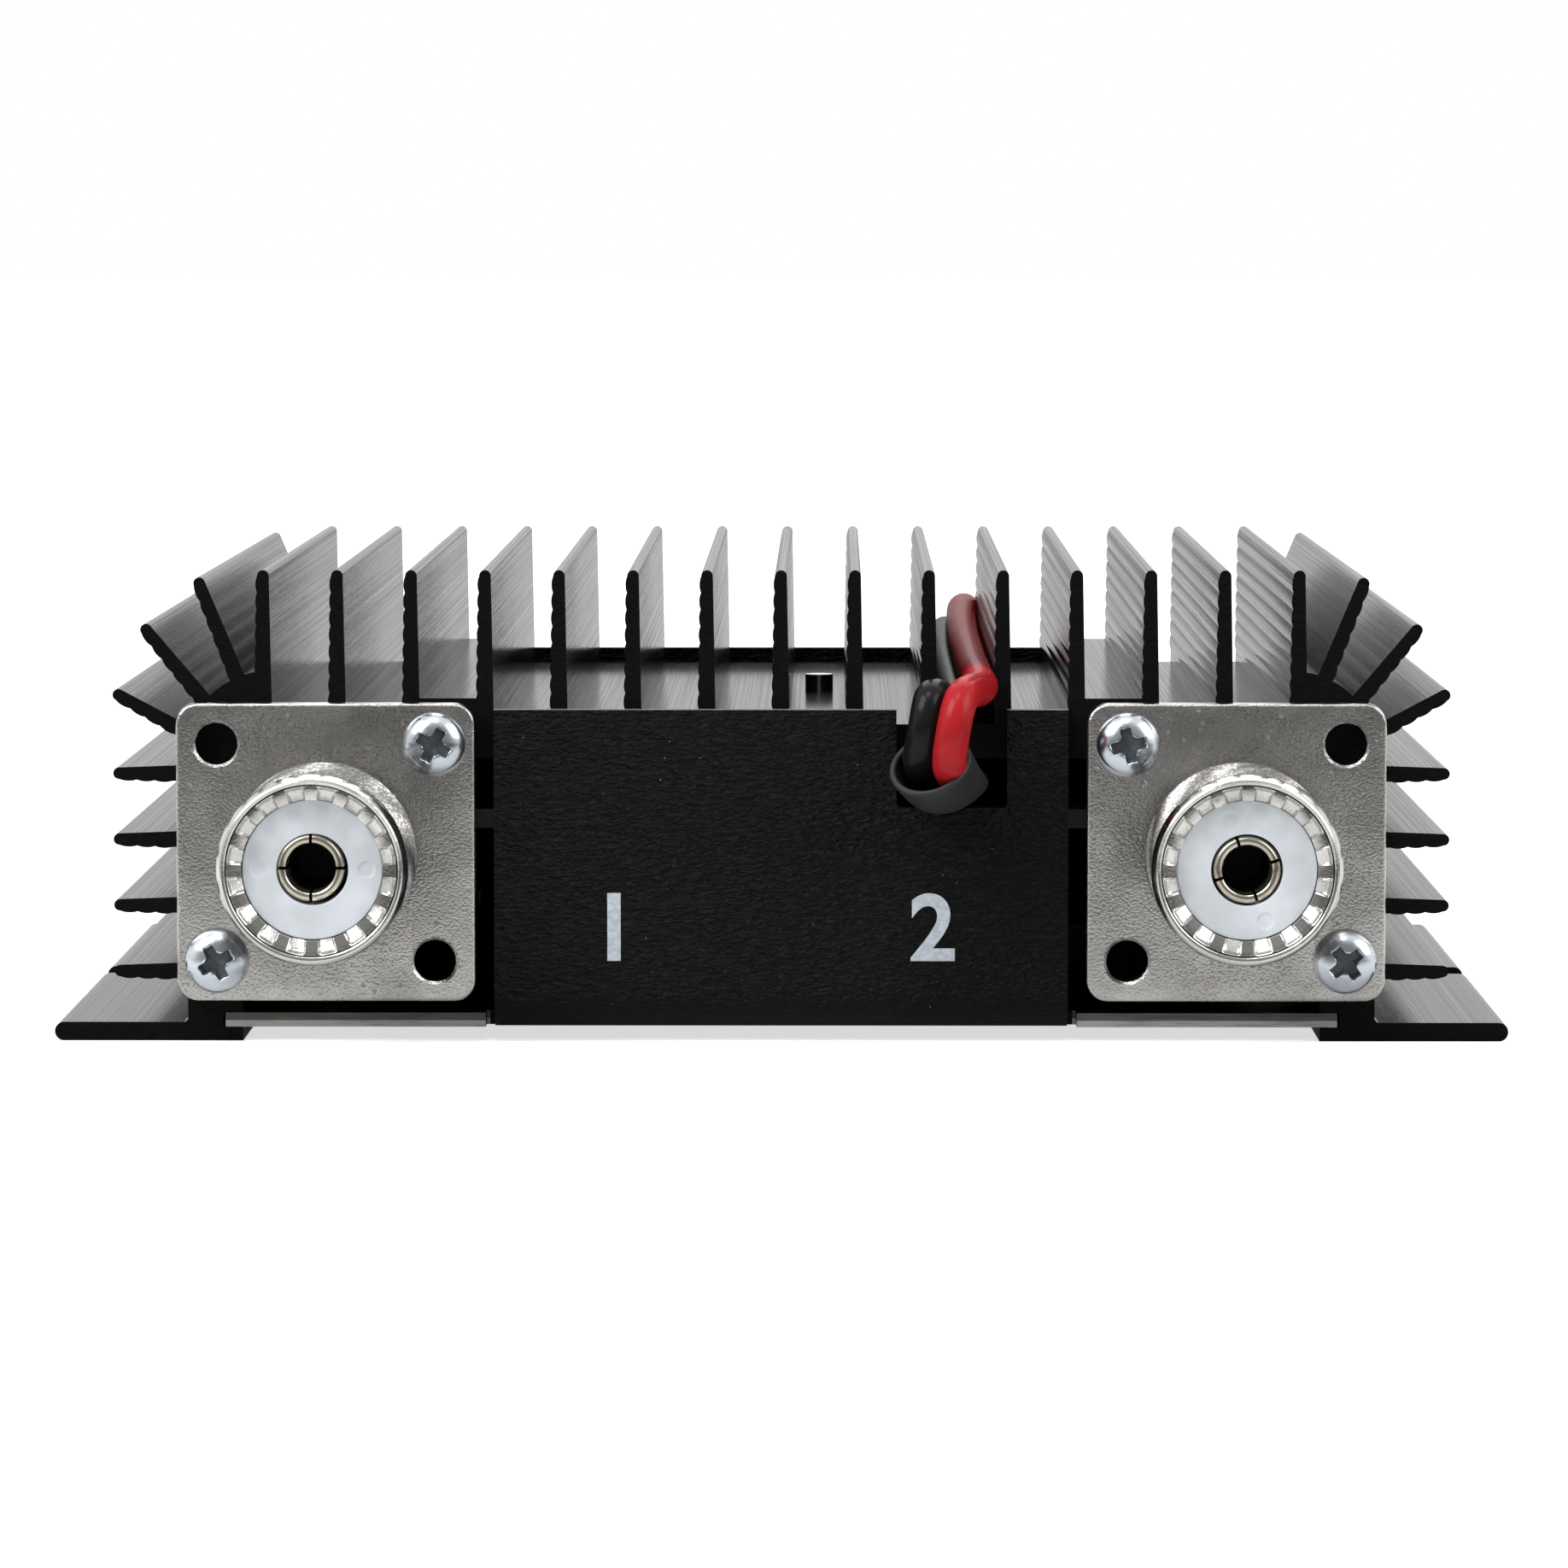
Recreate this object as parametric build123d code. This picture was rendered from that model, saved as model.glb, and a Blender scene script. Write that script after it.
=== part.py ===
from build123d import *
import os
from math import cos, pi, radians, sin, sqrt, tan

# Radio amplifier in an extruded, finned aluminium housing. X runs along the sockets, Y runs from the
# sockets (-Y) to the switches (+Y), Z is up. The origin lies between the two mounting slots, on the
# plane that the feet stand on. All lengths are millimetres.

# Fits shared by all pieces
seat_gap = 0.05  # between sheets and what they lie on
round_fit = 0.05  # radial clearance of a round piece in its hole
slide_fit = 0.2  # side clearance of a sheet in its groove
overrun = 1.0  # how far a cut reaches past the face that it opens

# Heatsink extrusion
sink_length = 82.0
plate_underside = 24.2
plate_thickness = 2.9
fin_count = 15
fin_pitch = 6.285
fin_tip_height = 40.2
fin_root_width = 1.5
fin_tip_width = 1.0
fin_embed = 1.2  # how deep a fin's root is sunk in what carries it
fin_plain = 2.4  # how far up from its root a fin has no ripples
ripple_pitch = 1.35
ripple_depth = 0.13
pad_rise = 2.2  # thicker floor above each upper screw port
pad_gap_number = 3  # the gap, counted from the outer fin, that has the thicker floor
port_wall = 1.1
wall_from_fin = 6.605  # from the outermost upright fin to the wall's outer face
wall_thickness = 4.7
corner_radius = 7.0
corner_rise = 0.4  # of the round corner's centre above the plate's underside
corner_fin_angles = (21.9, 39.3, 60.9)
corner_fin_reaches = (16.1, 14.1, 13.1)
corner_fin_shifts = (0.0, 1.75, 1.75)
corner_fin_drops = (0.0, 0.0, 1.15)
side_fin_count = 4
side_fin_lowest = 6.0
side_fin_pitch = 5.63
side_fin_length = 6.25
foot_width = 11.4  # from the wall to the foot's tip
foot_thickness = 1.6
foot_fillet = 0.4
groove_lip = 1.15
groove_depth = 1.7
slot_width = 5.5  # mounting slot, open at the foot's outer edge
slot_depth = 6.0

# Sheet cover and front panel
sheet = 1.2
bend_inside = 1.2
bend_relief = 0.8
panel_gap = 1.55  # between the rear panel and each socket's flange
panel_top = 28.4
notch_middle = 14.5
notch_width = 9.4
notch_floor = 20.05
notch_corner = 0.5
front_overlap = 0.6  # of the front panel past each wall
front_corner = 4.5
front_rise_reach = 2.6  # of the panel's raised middle past its upper screws
front_rise_corner = 1.0
front_shoulder_drop = 0.2  # from the plate's top to the panel beside the raised middle
front_lip_depth = 11.0
front_lip_gap = 1.5  # between the lip and each wall
cover_screw_spread = 60.0
cover_screw_inset = 5.0  # from the lip's inner edge

# Coaxial sockets
port_inset = 2.0  # of the lower screw port behind the wall's inner face
socket_height = 16.3
flange_size = 25.4
flange_thickness = 2.0
flange_corner = 1.8
flange_edge = 0.3
flange_hole = 3.6
flange_hole_chamfer = 0.2
hole_spacing = 18.5
thread_diameter = 15.875
barrel_length = 16.7
relief_diameter = 14.8
relief_length = 2.4
relief_slope = 0.4
rim_chamfer = 0.6
socket_bore = 11.7
rim_tooth_count = 16
rim_pocket_reach = 1.0
rim_pocket_depth = 0.7
rear_boss = 12.6
rear_boss_length = 5.0
insulator_recess = 1.4
contact_diameter = 5.3
contact_clearance = 0.3
contact_clear_depth = 9.0
contact_bore = 4.0
contact_bore_depth = 12.0
contact_lip = 0.35
contact_slot = 0.6
contact_slot_depth = 8.0
contact_turns = (0.0, 18.0)  # degrees, as the two contacts stand in their sockets
collar_diameter = 6.8
collar_length = 0.8
tail_diameter = 3.4
tail_length = 5.0
cup_diameter = 2.0
cup_depth = 3.4

# Screws
screw_diameter = 3.0
screw_length = 11.0
board_screw_bite = 2.1
head_diameter = 5.5
head_height = 1.9
head_round = 1.2
cross_span = 2.5
cross_width = 0.75
cross_depth = 1.1
cover_screw_diameter = 2.5
cover_screw_head = 4.4
cover_screw_length = 4.2
cover_cross_depth = 0.6

# Circuit board and what holds it
board_underside = 18.1
board_thickness = 1.6
board_wall_gap = 1.4
board_front = 26.0
board_rear = 39.4  # behind the middle plane, between the sockets
board_neck_half_width = 30.5
board_socket_gap = 1.0
spacer_diameter = 5.5
board_screw_inset = 6.9  # from each wall
board_screw_front = 20.0
board_screw_rear = 25.0

# Power transistor under the plate
pad_thickness = 0.2
pad_margin = 0.5
tab_width = 10.2
tab_thickness = 1.3
tab_back = 3.2  # from the hole to the tab's free end
tab_front = 3.4  # from the hole to the moulded body
case_length = 9.2
case_thickness = 4.1
leg_width = 0.8
leg_thickness = 0.5
leg_pitch = 2.54
leg_run = 2.6
leg_drop = 2.4  # from the case's top face to the legs
leg_past_board = 1.2
leg_hole = 1.2
transistor_screw_diameter = 2.5
transistor_screw_head = 5.0
stud_height = 1.55
driver_hole = 7.0

# Pieces on the board's underside
output_core_size = (14.0, 20.0, 9.0)
output_core_place = (-15.0, 5.0)
output_tube = 4.2
input_core_size = (11.0, 11.0, 6.6)
input_core_place = (14.0, -26.0)
input_tube = 2.8
tube_spacing_share = 0.46
tube_past_plate = 0.4
tube_wall = 0.5
end_plate = 0.8
relay_size = (10.0, 19.0, 9.2)
relay_place = (33.0, 6.0)
relay_corner = 0.8
relay_base = 1.4
relay_base_edge = 0.4
can_diameter = 8.0
can_height = 9.2
can_groove = 0.4
can_groove_start = 1.2
can_groove_length = 1.0
can_places = ((-35.0, 0.0), (-35.0, 11.0))
choke_outer = 14.0
choke_inner = 7.0
choke_height = 6.4
choke_edge = 1.2
choke_place = (17.0, 14.0)
disc_diameter = 6.4
disc_thickness = 2.2
disc_lift = 1.2
disc_leg = 0.7
disc_leg_share = 0.62
disc_y = -28.0
disc_columns = (-20.0, -12.0, -4.0, 4.0)
resistor_diameter = 2.6
resistor_length = 8.0
resistor_lift = 0.8
resistor_leg = 0.7
resistor_places = ((17.0, -8.0), (17.0, -3.0))

# Rocker switches and lamps on the front panel
switch_columns = (-36.0, -20.0)
control_height = 13.2
switch_size = (8.3, 11.0, 13.3)
cutout_gap = 0.1
bezel_size = (10.6, 1.6, 15.0)
bezel_corner = 1.0
cavity_size = (6.6, 7.2, 11.8)
pivot_depth = 2.2  # from the bezel's face
pivot_diameter = 1.6
pivot_length = 7.8
rocker_radius = 5.6
rocker_width = 6.2
rocker_top_angle = 42.0
rocker_low_angle = -18.0
rocker_valley = 2.9
rocker_throw = 22.0
terminal_size = (4.8, 5.0, 0.8)
terminal_spread = 8.0
lamp_columns = (-4.0, 4.5)
lamp_diameter = 3.0
lamp_collar = 3.8
lamp_collar_length = 1.0
lamp_proud = 2.4
holder_diameter = 6.2
holder_proud = 1.3
holder_edge = 0.4
holder_sleeve = 4.3
holder_length = 3.4

# Supply lead: a tube of the same section area as the twin lead, its sleeve, its route and its coil
lead_diameter = 4.0
conductor_diameter = 2.9
corner_share = 0.45  # of the shorter run, which the arc at a corner of the route takes up
sleeve_diameter = 7.1
sleeve_wall = 0.6
sleeve_flat_height = 3.9
sleeve_inner_end = 39.5  # behind the middle plane
sleeve_outer_flat = 42.5
sleeve_place = (15.2, 22.15)
sleeve_mouth = (13.1, -48.5, 24.0)
sleeve_mouth_way = (-0.25, -0.70, 0.67)
inner_lead_diameter = 1.8
inner_lead_run = 6.0
coil_middle = (-11.0, 88.0)
coil_outer = 36.2
coil_step = 6.2
coil_turns = 2  # in each of the two layers
coil_rise = 4.6
coil_spans = 4  # pairs of arcs in a turn
climb_turns = 0.5
tie_thickness = 0.6
tie_width = 3.0
tie_floor_gap = 0.1
tie_slack = 0.9
tie_gap = 0.3
tie_corner = 1.6
tie_head = 4.4
tie_head_height = 2.6
tip_diameter = 1.5
tip_length = 7.0

# Heights and depths that follow from the sizes above
half_length = sink_length / 2
floor = plate_underside + plate_thickness
wall_outer = (fin_count - 1) / 2 * fin_pitch + wall_from_fin
wall_inner = wall_outer - wall_thickness
side_fin_reach = wall_outer + side_fin_length
foot_reach = wall_outer + foot_width
corner_x = wall_outer - corner_radius
corner_z = plate_underside + corner_rise
sheet_low = groove_lip + seat_gap
sheet_top = sheet_low + sheet
lip_low = sheet_top + seat_gap
panel_face = half_length + seat_gap + sheet
port_reach = hole_spacing / 2
socket_x = wall_inner + port_inset - port_reach
panel_half_width = socket_x - flange_size / 2 - panel_gap
front_half_width = wall_outer + front_overlap
front_lip_half_width = wall_inner - front_lip_gap
board_half_width = wall_inner - board_wall_gap
board_screw_span = 2 * (wall_inner - board_screw_inset)
transistor_x = fin_pitch / 2
upper_port = (socket_x - port_reach, socket_height + port_reach)
front_rise_half_width = upper_port[0] + front_rise_reach
front_shoulder = floor - front_shoulder_drop
lower_port = (socket_x + port_reach, socket_height - port_reach)
socket_front = flange_thickness + barrel_length - insulator_recess
board_top = board_underside + board_thickness
tab_top = plate_underside - pad_thickness
switch_face = panel_face + bezel_size[1]
pivot_y = switch_face - pivot_depth
coil_low = tie_floor_gap + tie_thickness + tie_gap + lead_diameter / 2
coil_high = coil_low + coil_rise

# The lead's route, from inside its sleeve, over the rear edge, along a gap between two fins, over the
# front edge and down to the floor, where it meets the coil
lead_route = [
    (14.3, -45.5, 23.0),
    (13.2, -48.6, 23.85),
    (12.8, -50.4, 26.6),
    (13.1, -49.8, 29.8),
    (14.1, -47.1, 31.6),
    (15.3, -41.8, 30.95),
    (15.65, -34.0, 30.2),
    (15.6, -20.0, 29.9),
    (15.7, 0.0, 29.8),
    (15.6, 18.0, 29.9),
    (15.75, 33.0, 30.5),
    (16.0, 43.0, 31.5),
    (17.8, 50.4, 29.1),
    (20.0, 55.4, 23.2),
    (21.2, 58.2, 15.7),
    (22.8, 62.6, 8.5),
    (24.5, 70.0, 4.5),
    (25.2, 79.0, coil_low),
    (coil_middle[0] + coil_outer, coil_middle[1] - lead_diameter, coil_low),
]

# Where the two conductors part beyond the coil: out to the side, along the lead, height
tail_route = [
    (conductor_diameter / 2, 0.0, coil_high),
    (conductor_diameter / 2, 5.0, coil_high),
    (2.3, 11.0, 6.0),
    (3.6, 17.5, 2.7),
    (4.6, 24.0, 1.5),
    (5.2, 29.5, 1.5),
]


def nearest(shapes, x, y):
    """The vertex of a flat outline that lies nearest to a point."""
    return shapes.sort_by_distance(Vector(x, y, 0))[0]


def block(low, high):
    """A box between two opposite corners."""
    size = [b - a for a, b in zip(low, high)]
    middle = [(a + b) / 2 for a, b in zip(low, high)]
    return Pos(*middle) * Box(*size)


def rectangle(left, right, low, high):
    """A rectangle between two opposite corners."""
    return Pos((left + right) / 2, (low + high) / 2) * Rectangle(right - left, high - low)


def turned(*points):
    """A solid of revolution about Z of an outline of radii and heights."""
    return revolve(Plane.XZ * make_face(Polyline(*points, close=True)), Axis.Z)


def facing_rear(x, y, z):
    """The place that points a piece made along +Z towards the sockets' side."""
    return Pos(x, y, z) * Rot(90, 0, 0)


def facing_front(x, y, z):
    """The place that points a piece made along +Z towards the switches' side."""
    return Pos(x, y, z) * Rot(-90, 0, 0)


def both_sides(*places):
    """The given places and their mirror images across the middle plane."""
    return [(sign * place[0], *place[1:]) for place in places for sign in (-1, 1)]


def fin_blade(length):
    """A tapered fin with a round tip: root at zero, tip along +Y, ripples on its -X side."""
    tip = fin_tip_width / 2
    root = fin_root_width / 2
    shoulder = length - tip
    count = max(int((shoulder - fin_plain) / ripple_pitch), 1)
    step = (shoulder - fin_plain) / count

    def half_width(height):
        return root + (tip - root) * height / shoulder

    edges = [
        Line((-root, 0), (root, 0)),
        Line((root, 0), (tip, shoulder)),
        ThreePointArc((tip, shoulder), (0, length), (-tip, shoulder)),
    ]
    upper = (-tip, shoulder)
    for number in range(count):
        height = shoulder - (number + 1) * step
        middle = height + step / 2
        lower = (-half_width(height), height)
        edges.append(ThreePointArc(upper, (-half_width(middle) - ripple_depth, middle), lower))
        upper = lower
    edges.append(Line(upper, (-root, 0)))
    return make_face(edges)


def corner_block():
    """The round shoulder between the plate and the left wall."""
    outline = [
        CenterArc((-corner_x, corner_z), corner_radius, 90, 90),
        Line((-wall_outer, corner_z), (-corner_x, corner_z)),
        Line((-corner_x, corner_z), (-corner_x, corner_z + corner_radius)),
    ]
    return make_face(outline)


def left_side_profile():
    """The left wall with its foot, groove, side fins and corner fins, as one outline."""
    foot_end = foot_thickness / 2
    side = rectangle(-wall_outer, -wall_inner, 0, plate_underside + fin_embed)
    side += rectangle(-foot_reach + foot_end, -wall_outer, 0, foot_thickness)
    side += Pos(-foot_reach + foot_end, foot_end) * Circle(foot_end)
    side = fillet(nearest(side.vertices(), -wall_outer, foot_thickness), foot_fillet)
    side += corner_block()
    side_fin = fin_blade(side_fin_reach - wall_outer + fin_embed)
    for number in range(side_fin_count):
        height = side_fin_lowest + number * side_fin_pitch
        side += Pos(-wall_outer + fin_embed, height) * Rot(0, 0, 90) * side_fin
    corner_fins = zip(corner_fin_angles, corner_fin_reaches, corner_fin_shifts, corner_fin_drops)
    for angle, reach, shift, drop in corner_fins:
        side += Pos(-corner_x - shift, corner_z - drop) * Rot(0, 0, angle) * fin_blade(reach)
    side -= rectangle(-wall_inner - groove_depth, -wall_inner + overrun, groove_lip, lip_low)
    return side


def pad_profile():
    """The thicker floor and the boss that carry the left upper screw port."""
    left = ((1 - fin_count) / 2 + pad_gap_number - 1) * fin_pitch
    pad = rectangle(left, left + fin_pitch, floor - fin_embed, floor + pad_rise)
    return pad + Pos(-upper_port[0], upper_port[1]) * Circle(screw_diameter / 2 + port_wall)


def heatsink_profile():
    """The whole cross-section of the extrusion, in X and Z."""
    plate = rectangle(-corner_x - fin_embed, corner_x + fin_embed, plate_underside, floor)
    side = left_side_profile() + pad_profile()
    profile = plate + side + mirror(side, about=Plane.YZ)
    blade = fin_blade(fin_tip_height - floor + fin_embed)
    for number in range(fin_count):
        profile += Pos((number + (1 - fin_count) / 2) * fin_pitch, floor - fin_embed) * blade
    for x, z in both_sides(upper_port, lower_port):
        profile -= Pos(x, z) * Circle(screw_diameter / 2 + round_fit)
    return profile


def board_screw_places():
    """Where the four board screws stand, in X and Y."""
    column = board_screw_span / 2
    return both_sides((column, -board_screw_rear), (column, board_screw_front))


def heatsink():
    """The finned housing, with its mounting slots and tapped holes."""
    sink = extrude(Plane.XZ * heatsink_profile(), half_length, both=True)
    slot_round = slot_width / 2
    cut_top = foot_thickness + overrun
    for sign in (-1, 1):
        middle = sign * (foot_reach - slot_depth + slot_round)
        near, far = sorted((middle, sign * (foot_reach + overrun)))
        sink -= Pos(middle, 0, 0) * Cylinder(slot_round, 2 * cut_top)
        sink -= block((near, -slot_round, -overrun), (far, slot_round, cut_top))
    stud_hole = Cylinder(transistor_screw_diameter / 2 + round_fit, plate_thickness + 2 * overrun)
    sink -= Pos(transistor_x, 0, plate_underside + plate_thickness / 2) * stud_hole
    screw_hole = Cylinder(screw_diameter / 2 + round_fit, 2 * (board_screw_bite + round_fit))
    for x, y in board_screw_places():
        sink -= Pos(x, y, plate_underside) * screw_hole
    return sink


def bent_profile(face, inner_end, low, top):
    """A sheet that runs along Y and turns up at its outer face: an outline in Y and Z."""
    inside = face + sheet if face < inner_end else face - sheet
    corners = [(inner_end, low), (face, low), (face, top)]
    corners += [(inside, top), (inside, low + sheet), (inner_end, low + sheet)]
    outline = make_face(Polyline(*corners, close=True))
    outline = fillet(nearest(outline.vertices(), face, low), bend_inside + sheet)
    return fillet(nearest(outline.vertices(), inside, low + sheet), bend_inside)


def cover_screw_places():
    """Where the two cover screws stand, in X and Y."""
    return both_sides((cover_screw_spread / 2, panel_face - front_lip_depth + cover_screw_inset))


def countersunk(extra, length):
    """A countersunk screw's outer form, grown by a clearance: rim at zero, shank upward."""
    rim = cover_screw_head / 2 + extra
    neck = cover_screw_diameter / 2 + extra
    return turned((0, 0), (rim, 0), (neck, rim - neck), (neck, length), (0, length))


def bottom_cover():
    """The bottom sheet, which slides in the wall grooves, with the rear panel bent up from it."""
    front = half_length - slide_fit
    side = wall_inner + groove_depth - slide_fit
    bend_start = sheet + bend_inside + bend_relief - panel_face
    profile = bent_profile(-panel_face, front, sheet_low, panel_top)
    cover = extrude(Plane.YZ * profile, panel_half_width, both=True)
    cover += block((-side, bend_start, sheet_low), (side, front, sheet_top))
    for sign in (-1, 1):
        near, far = sorted((sign * (panel_half_width + bend_relief), sign * side))
        cover += block((near, -half_length, sheet_low), (far, bend_start, sheet_top))
    left = notch_middle - notch_width / 2
    notch = rectangle(left, left + notch_width, notch_floor, panel_top + overrun)
    notch = fillet(notch.vertices().sort_by(Axis.Y)[:2], notch_corner)
    cover -= Pos(0, -half_length, 0) * extrude(Plane.XZ * notch, sheet + overrun)
    for x, y in cover_screw_places():
        cover -= Pos(x, y, sheet_low) * countersunk(round_fit, sheet + overrun)
    return cover


def front_panel():
    """The front sheet, with the lip that the cover is screwed to and its cut-outs."""
    relief_top = lip_low + sheet + bend_inside + bend_relief
    profile = bent_profile(panel_face, panel_face - front_lip_depth, lip_low, front_shoulder)
    panel = extrude(Plane.YZ * profile, front_lip_half_width, both=True)
    face = rectangle(-front_half_width, front_half_width, relief_top, front_shoulder)
    face += rectangle(-front_rise_half_width, front_rise_half_width, relief_top, panel_top)
    for sign in (-1, 1):
        face = fillet(nearest(face.vertices(), sign * front_half_width, front_shoulder), front_corner)
        face = fillet(nearest(face.vertices(), sign * front_rise_half_width, panel_top), front_rise_corner)
    for sign in (-1, 1):
        near, far = sorted((sign * (front_lip_half_width + bend_relief), sign * front_half_width))
        face += rectangle(near, far, lip_low, relief_top)
    panel += Pos(0, panel_face, 0) * extrude(Plane.XZ * face, sheet)
    width, _, height = switch_size
    cuts = Sketch()
    for x, z in both_sides(upper_port, lower_port):
        cuts += Pos(x, z) * Circle(screw_diameter / 2 + slide_fit)
    for x in switch_columns:
        cuts += Pos(x, control_height) * Rectangle(width + 2 * cutout_gap, height + 2 * cutout_gap)
    for x in lamp_columns:
        cuts += Pos(x, control_height) * Circle(holder_sleeve / 2 + round_fit)
    panel -= Pos(0, panel_face + overrun, 0) * extrude(Plane.XZ * cuts, sheet + 2 * overrun)
    screw_hole = Cylinder(cover_screw_diameter / 2 + round_fit, 2 * (sheet + overrun))
    for x, y in cover_screw_places():
        panel -= Pos(x, y, lip_low) * screw_hole
    return panel


def cross_recess(depth):
    """The cutter for a driver's cross, from zero down to a depth."""
    arm = Box(cross_span, cross_width, 2 * depth)
    return arm + Rot(0, 0, 90) * arm


def pan_screw(diameter, length, head):
    """A pan-head screw: head above zero, shank below."""
    top = Pos(0, 0, head_height / 2) * Cylinder(head / 2, head_height)
    top = fillet(top.edges().group_by(Axis.Z)[-1], head_round)
    top -= Pos(0, 0, head_height) * cross_recess(cross_depth)
    return top + Pos(0, 0, -length / 2) * Cylinder(diameter / 2, length)


def cover_screws():
    """The two countersunk screws that hold the cover to the front panel's lip."""
    screw = countersunk(0, cover_screw_length) - cross_recess(cover_cross_depth)
    return Part() + [Pos(x, y, sheet_low) * screw for x, y in cover_screw_places()]


def socket_screws():
    """The two screws of each socket, in the housing's ports."""
    screw = pan_screw(screw_diameter, screw_length, head_diameter)
    face = -half_length - flange_thickness
    return Part() + [facing_rear(x, face, z) * screw for x, z in both_sides(upper_port, lower_port)]


def front_panel_screws():
    """The four screws of the front panel, in the same ports."""
    screw = pan_screw(screw_diameter, screw_length, head_diameter)
    ports = both_sides(upper_port, lower_port)
    return Part() + [facing_front(x, panel_face, z) * screw for x, z in ports]


def socket_body():
    """A socket's flange, threaded barrel and toothed rim: flange on zero, rim along +Z."""
    bore = socket_bore / 2
    thread = thread_diameter / 2
    end = flange_thickness + barrel_length
    slope_end = flange_thickness + relief_length + relief_slope
    flange = extrude(RectangleRounded(flange_size, flange_size, flange_corner), flange_thickness)
    flange = chamfer(flange.edges().group_by(Axis.Z)[-1], flange_edge)
    flange -= Cylinder(bore, 2 * (flange_thickness + overrun))
    body = flange + turned(
        (bore, -rear_boss_length),
        (rear_boss / 2, -rear_boss_length),
        (rear_boss / 2, flange_thickness),
        (relief_diameter / 2, flange_thickness),
        (relief_diameter / 2, slope_end - relief_slope),
        (thread, slope_end),
        (thread, end - rim_chamfer),
        (thread - rim_chamfer, end),
        (bore, end),
    )
    hole = flange_hole / 2
    flare = flange_hole_chamfer + overrun
    hole_cut = turned(
        (0, -overrun),
        (hole, -overrun),
        (hole, flange_thickness - flange_hole_chamfer),
        (hole + flare, flange_thickness + overrun),
        (0, flange_thickness + overrun),
    )
    body -= GridLocations(hole_spacing, hole_spacing, 2, 2) * hole_cut
    pocket = Box(rim_pocket_reach + overrun, pi * bore / rim_tooth_count, 2 * rim_pocket_depth)
    pocket_middle = bore + (rim_pocket_reach - overrun) / 2
    body -= Pos(0, 0, end) * PolarLocations(pocket_middle, rim_tooth_count) * pocket
    return body


def socket_insulator():
    """A socket's insulator, with a wider mouth around the contact's split end."""
    outer = socket_bore / 2 - round_fit
    hole = contact_diameter / 2 + round_fit
    mouth = contact_diameter / 2 + contact_clearance
    return turned(
        (hole, -rear_boss_length),
        (outer, -rear_boss_length),
        (outer, socket_front),
        (mouth, socket_front),
        (mouth, socket_front - contact_clear_depth),
        (hole, socket_front - contact_clear_depth),
    )


def socket_contact():
    """A socket's centre contact: split tube at the mouth, collar and solder cup inside."""
    bore = contact_bore / 2
    outer = contact_diameter / 2
    collar_end = -rear_boss_length - collar_length
    tail_end = -rear_boss_length - tail_length
    contact = turned(
        (bore + contact_lip, socket_front),
        (outer, socket_front),
        (outer, -rear_boss_length),
        (collar_diameter / 2, -rear_boss_length),
        (collar_diameter / 2, collar_end),
        (tail_diameter / 2, collar_end),
        (tail_diameter / 2, tail_end),
        (cup_diameter / 2, tail_end),
        (cup_diameter / 2, tail_end + cup_depth),
        (0, tail_end + cup_depth),
        (0, socket_front - contact_bore_depth),
        (bore, socket_front - contact_bore_depth),
        (bore, socket_front - contact_lip),
    )
    slot = Box(contact_diameter + overrun, contact_slot, 2 * contact_slot_depth)
    return contact - Pos(0, 0, socket_front) * (slot + Rot(0, 0, 90) * slot)


def circuit_board():
    """The board, with holes for its screws, the transistor's legs and the driver."""
    socket_edge = half_length - rear_boss_length - board_socket_gap
    outline = rectangle(-board_half_width, board_half_width, -socket_edge, board_front)
    outline += rectangle(-board_neck_half_width, board_neck_half_width, -board_rear, board_front)
    for x, y in board_screw_places():
        outline -= Pos(x, y) * Circle(screw_diameter / 2 + round_fit)
    outline -= Pos(transistor_x, 0) * Circle(driver_hole / 2)
    for x, y in leg_places():
        outline -= Pos(x, y) * Circle(leg_hole / 2)
    return Pos(0, 0, board_underside) * extrude(outline, board_thickness)


def board_spacers():
    """The four tubes between the board and the plate."""
    height = plate_underside - board_top
    inner = screw_diameter / 2 + round_fit
    outer = spacer_diameter / 2
    tube = turned((inner, 0), (outer, 0), (outer, height), (inner, height))
    return Part() + [Pos(x, y, board_top) * tube for x, y in board_screw_places()]


def board_screws():
    """The four screws that hold the board, driven from below."""
    length = plate_underside - board_underside + board_screw_bite
    screw = Rot(180, 0, 0) * pan_screw(screw_diameter, length, head_diameter)
    return Part() + [Pos(x, y, board_underside) * screw for x, y in board_screw_places()]


def leg_places():
    """Where the transistor's three legs pass the board, in X and Y."""
    y = tab_front + case_length + leg_run - leg_thickness / 2
    return [(transistor_x + number * leg_pitch, y) for number in (-1, 0, 1)]


def power_transistor():
    """The transistor: tab against the pad, moulded case, three legs bent down through the board."""
    half = tab_width / 2
    left, right = transistor_x - half, transistor_x + half
    case_end = tab_front + case_length
    leg_top = tab_top - leg_drop
    part = block((left, -tab_back, tab_top - tab_thickness), (right, tab_front, tab_top))
    part += block((left, tab_front, tab_top - case_thickness), (right, case_end, tab_top))
    part -= Pos(transistor_x, 0, tab_top) * Cylinder(
        transistor_screw_diameter / 2 + round_fit, 2 * (tab_thickness + overrun)
    )
    for x, y in leg_places():
        near, far = x - leg_width / 2, x + leg_width / 2
        leg_end = y + leg_thickness / 2
        part += block((near, case_end, leg_top - leg_thickness), (far, leg_end, leg_top))
        low = board_underside - leg_past_board
        part += block((near, leg_end - leg_thickness, low), (far, leg_end, leg_top))
    return part


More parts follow.
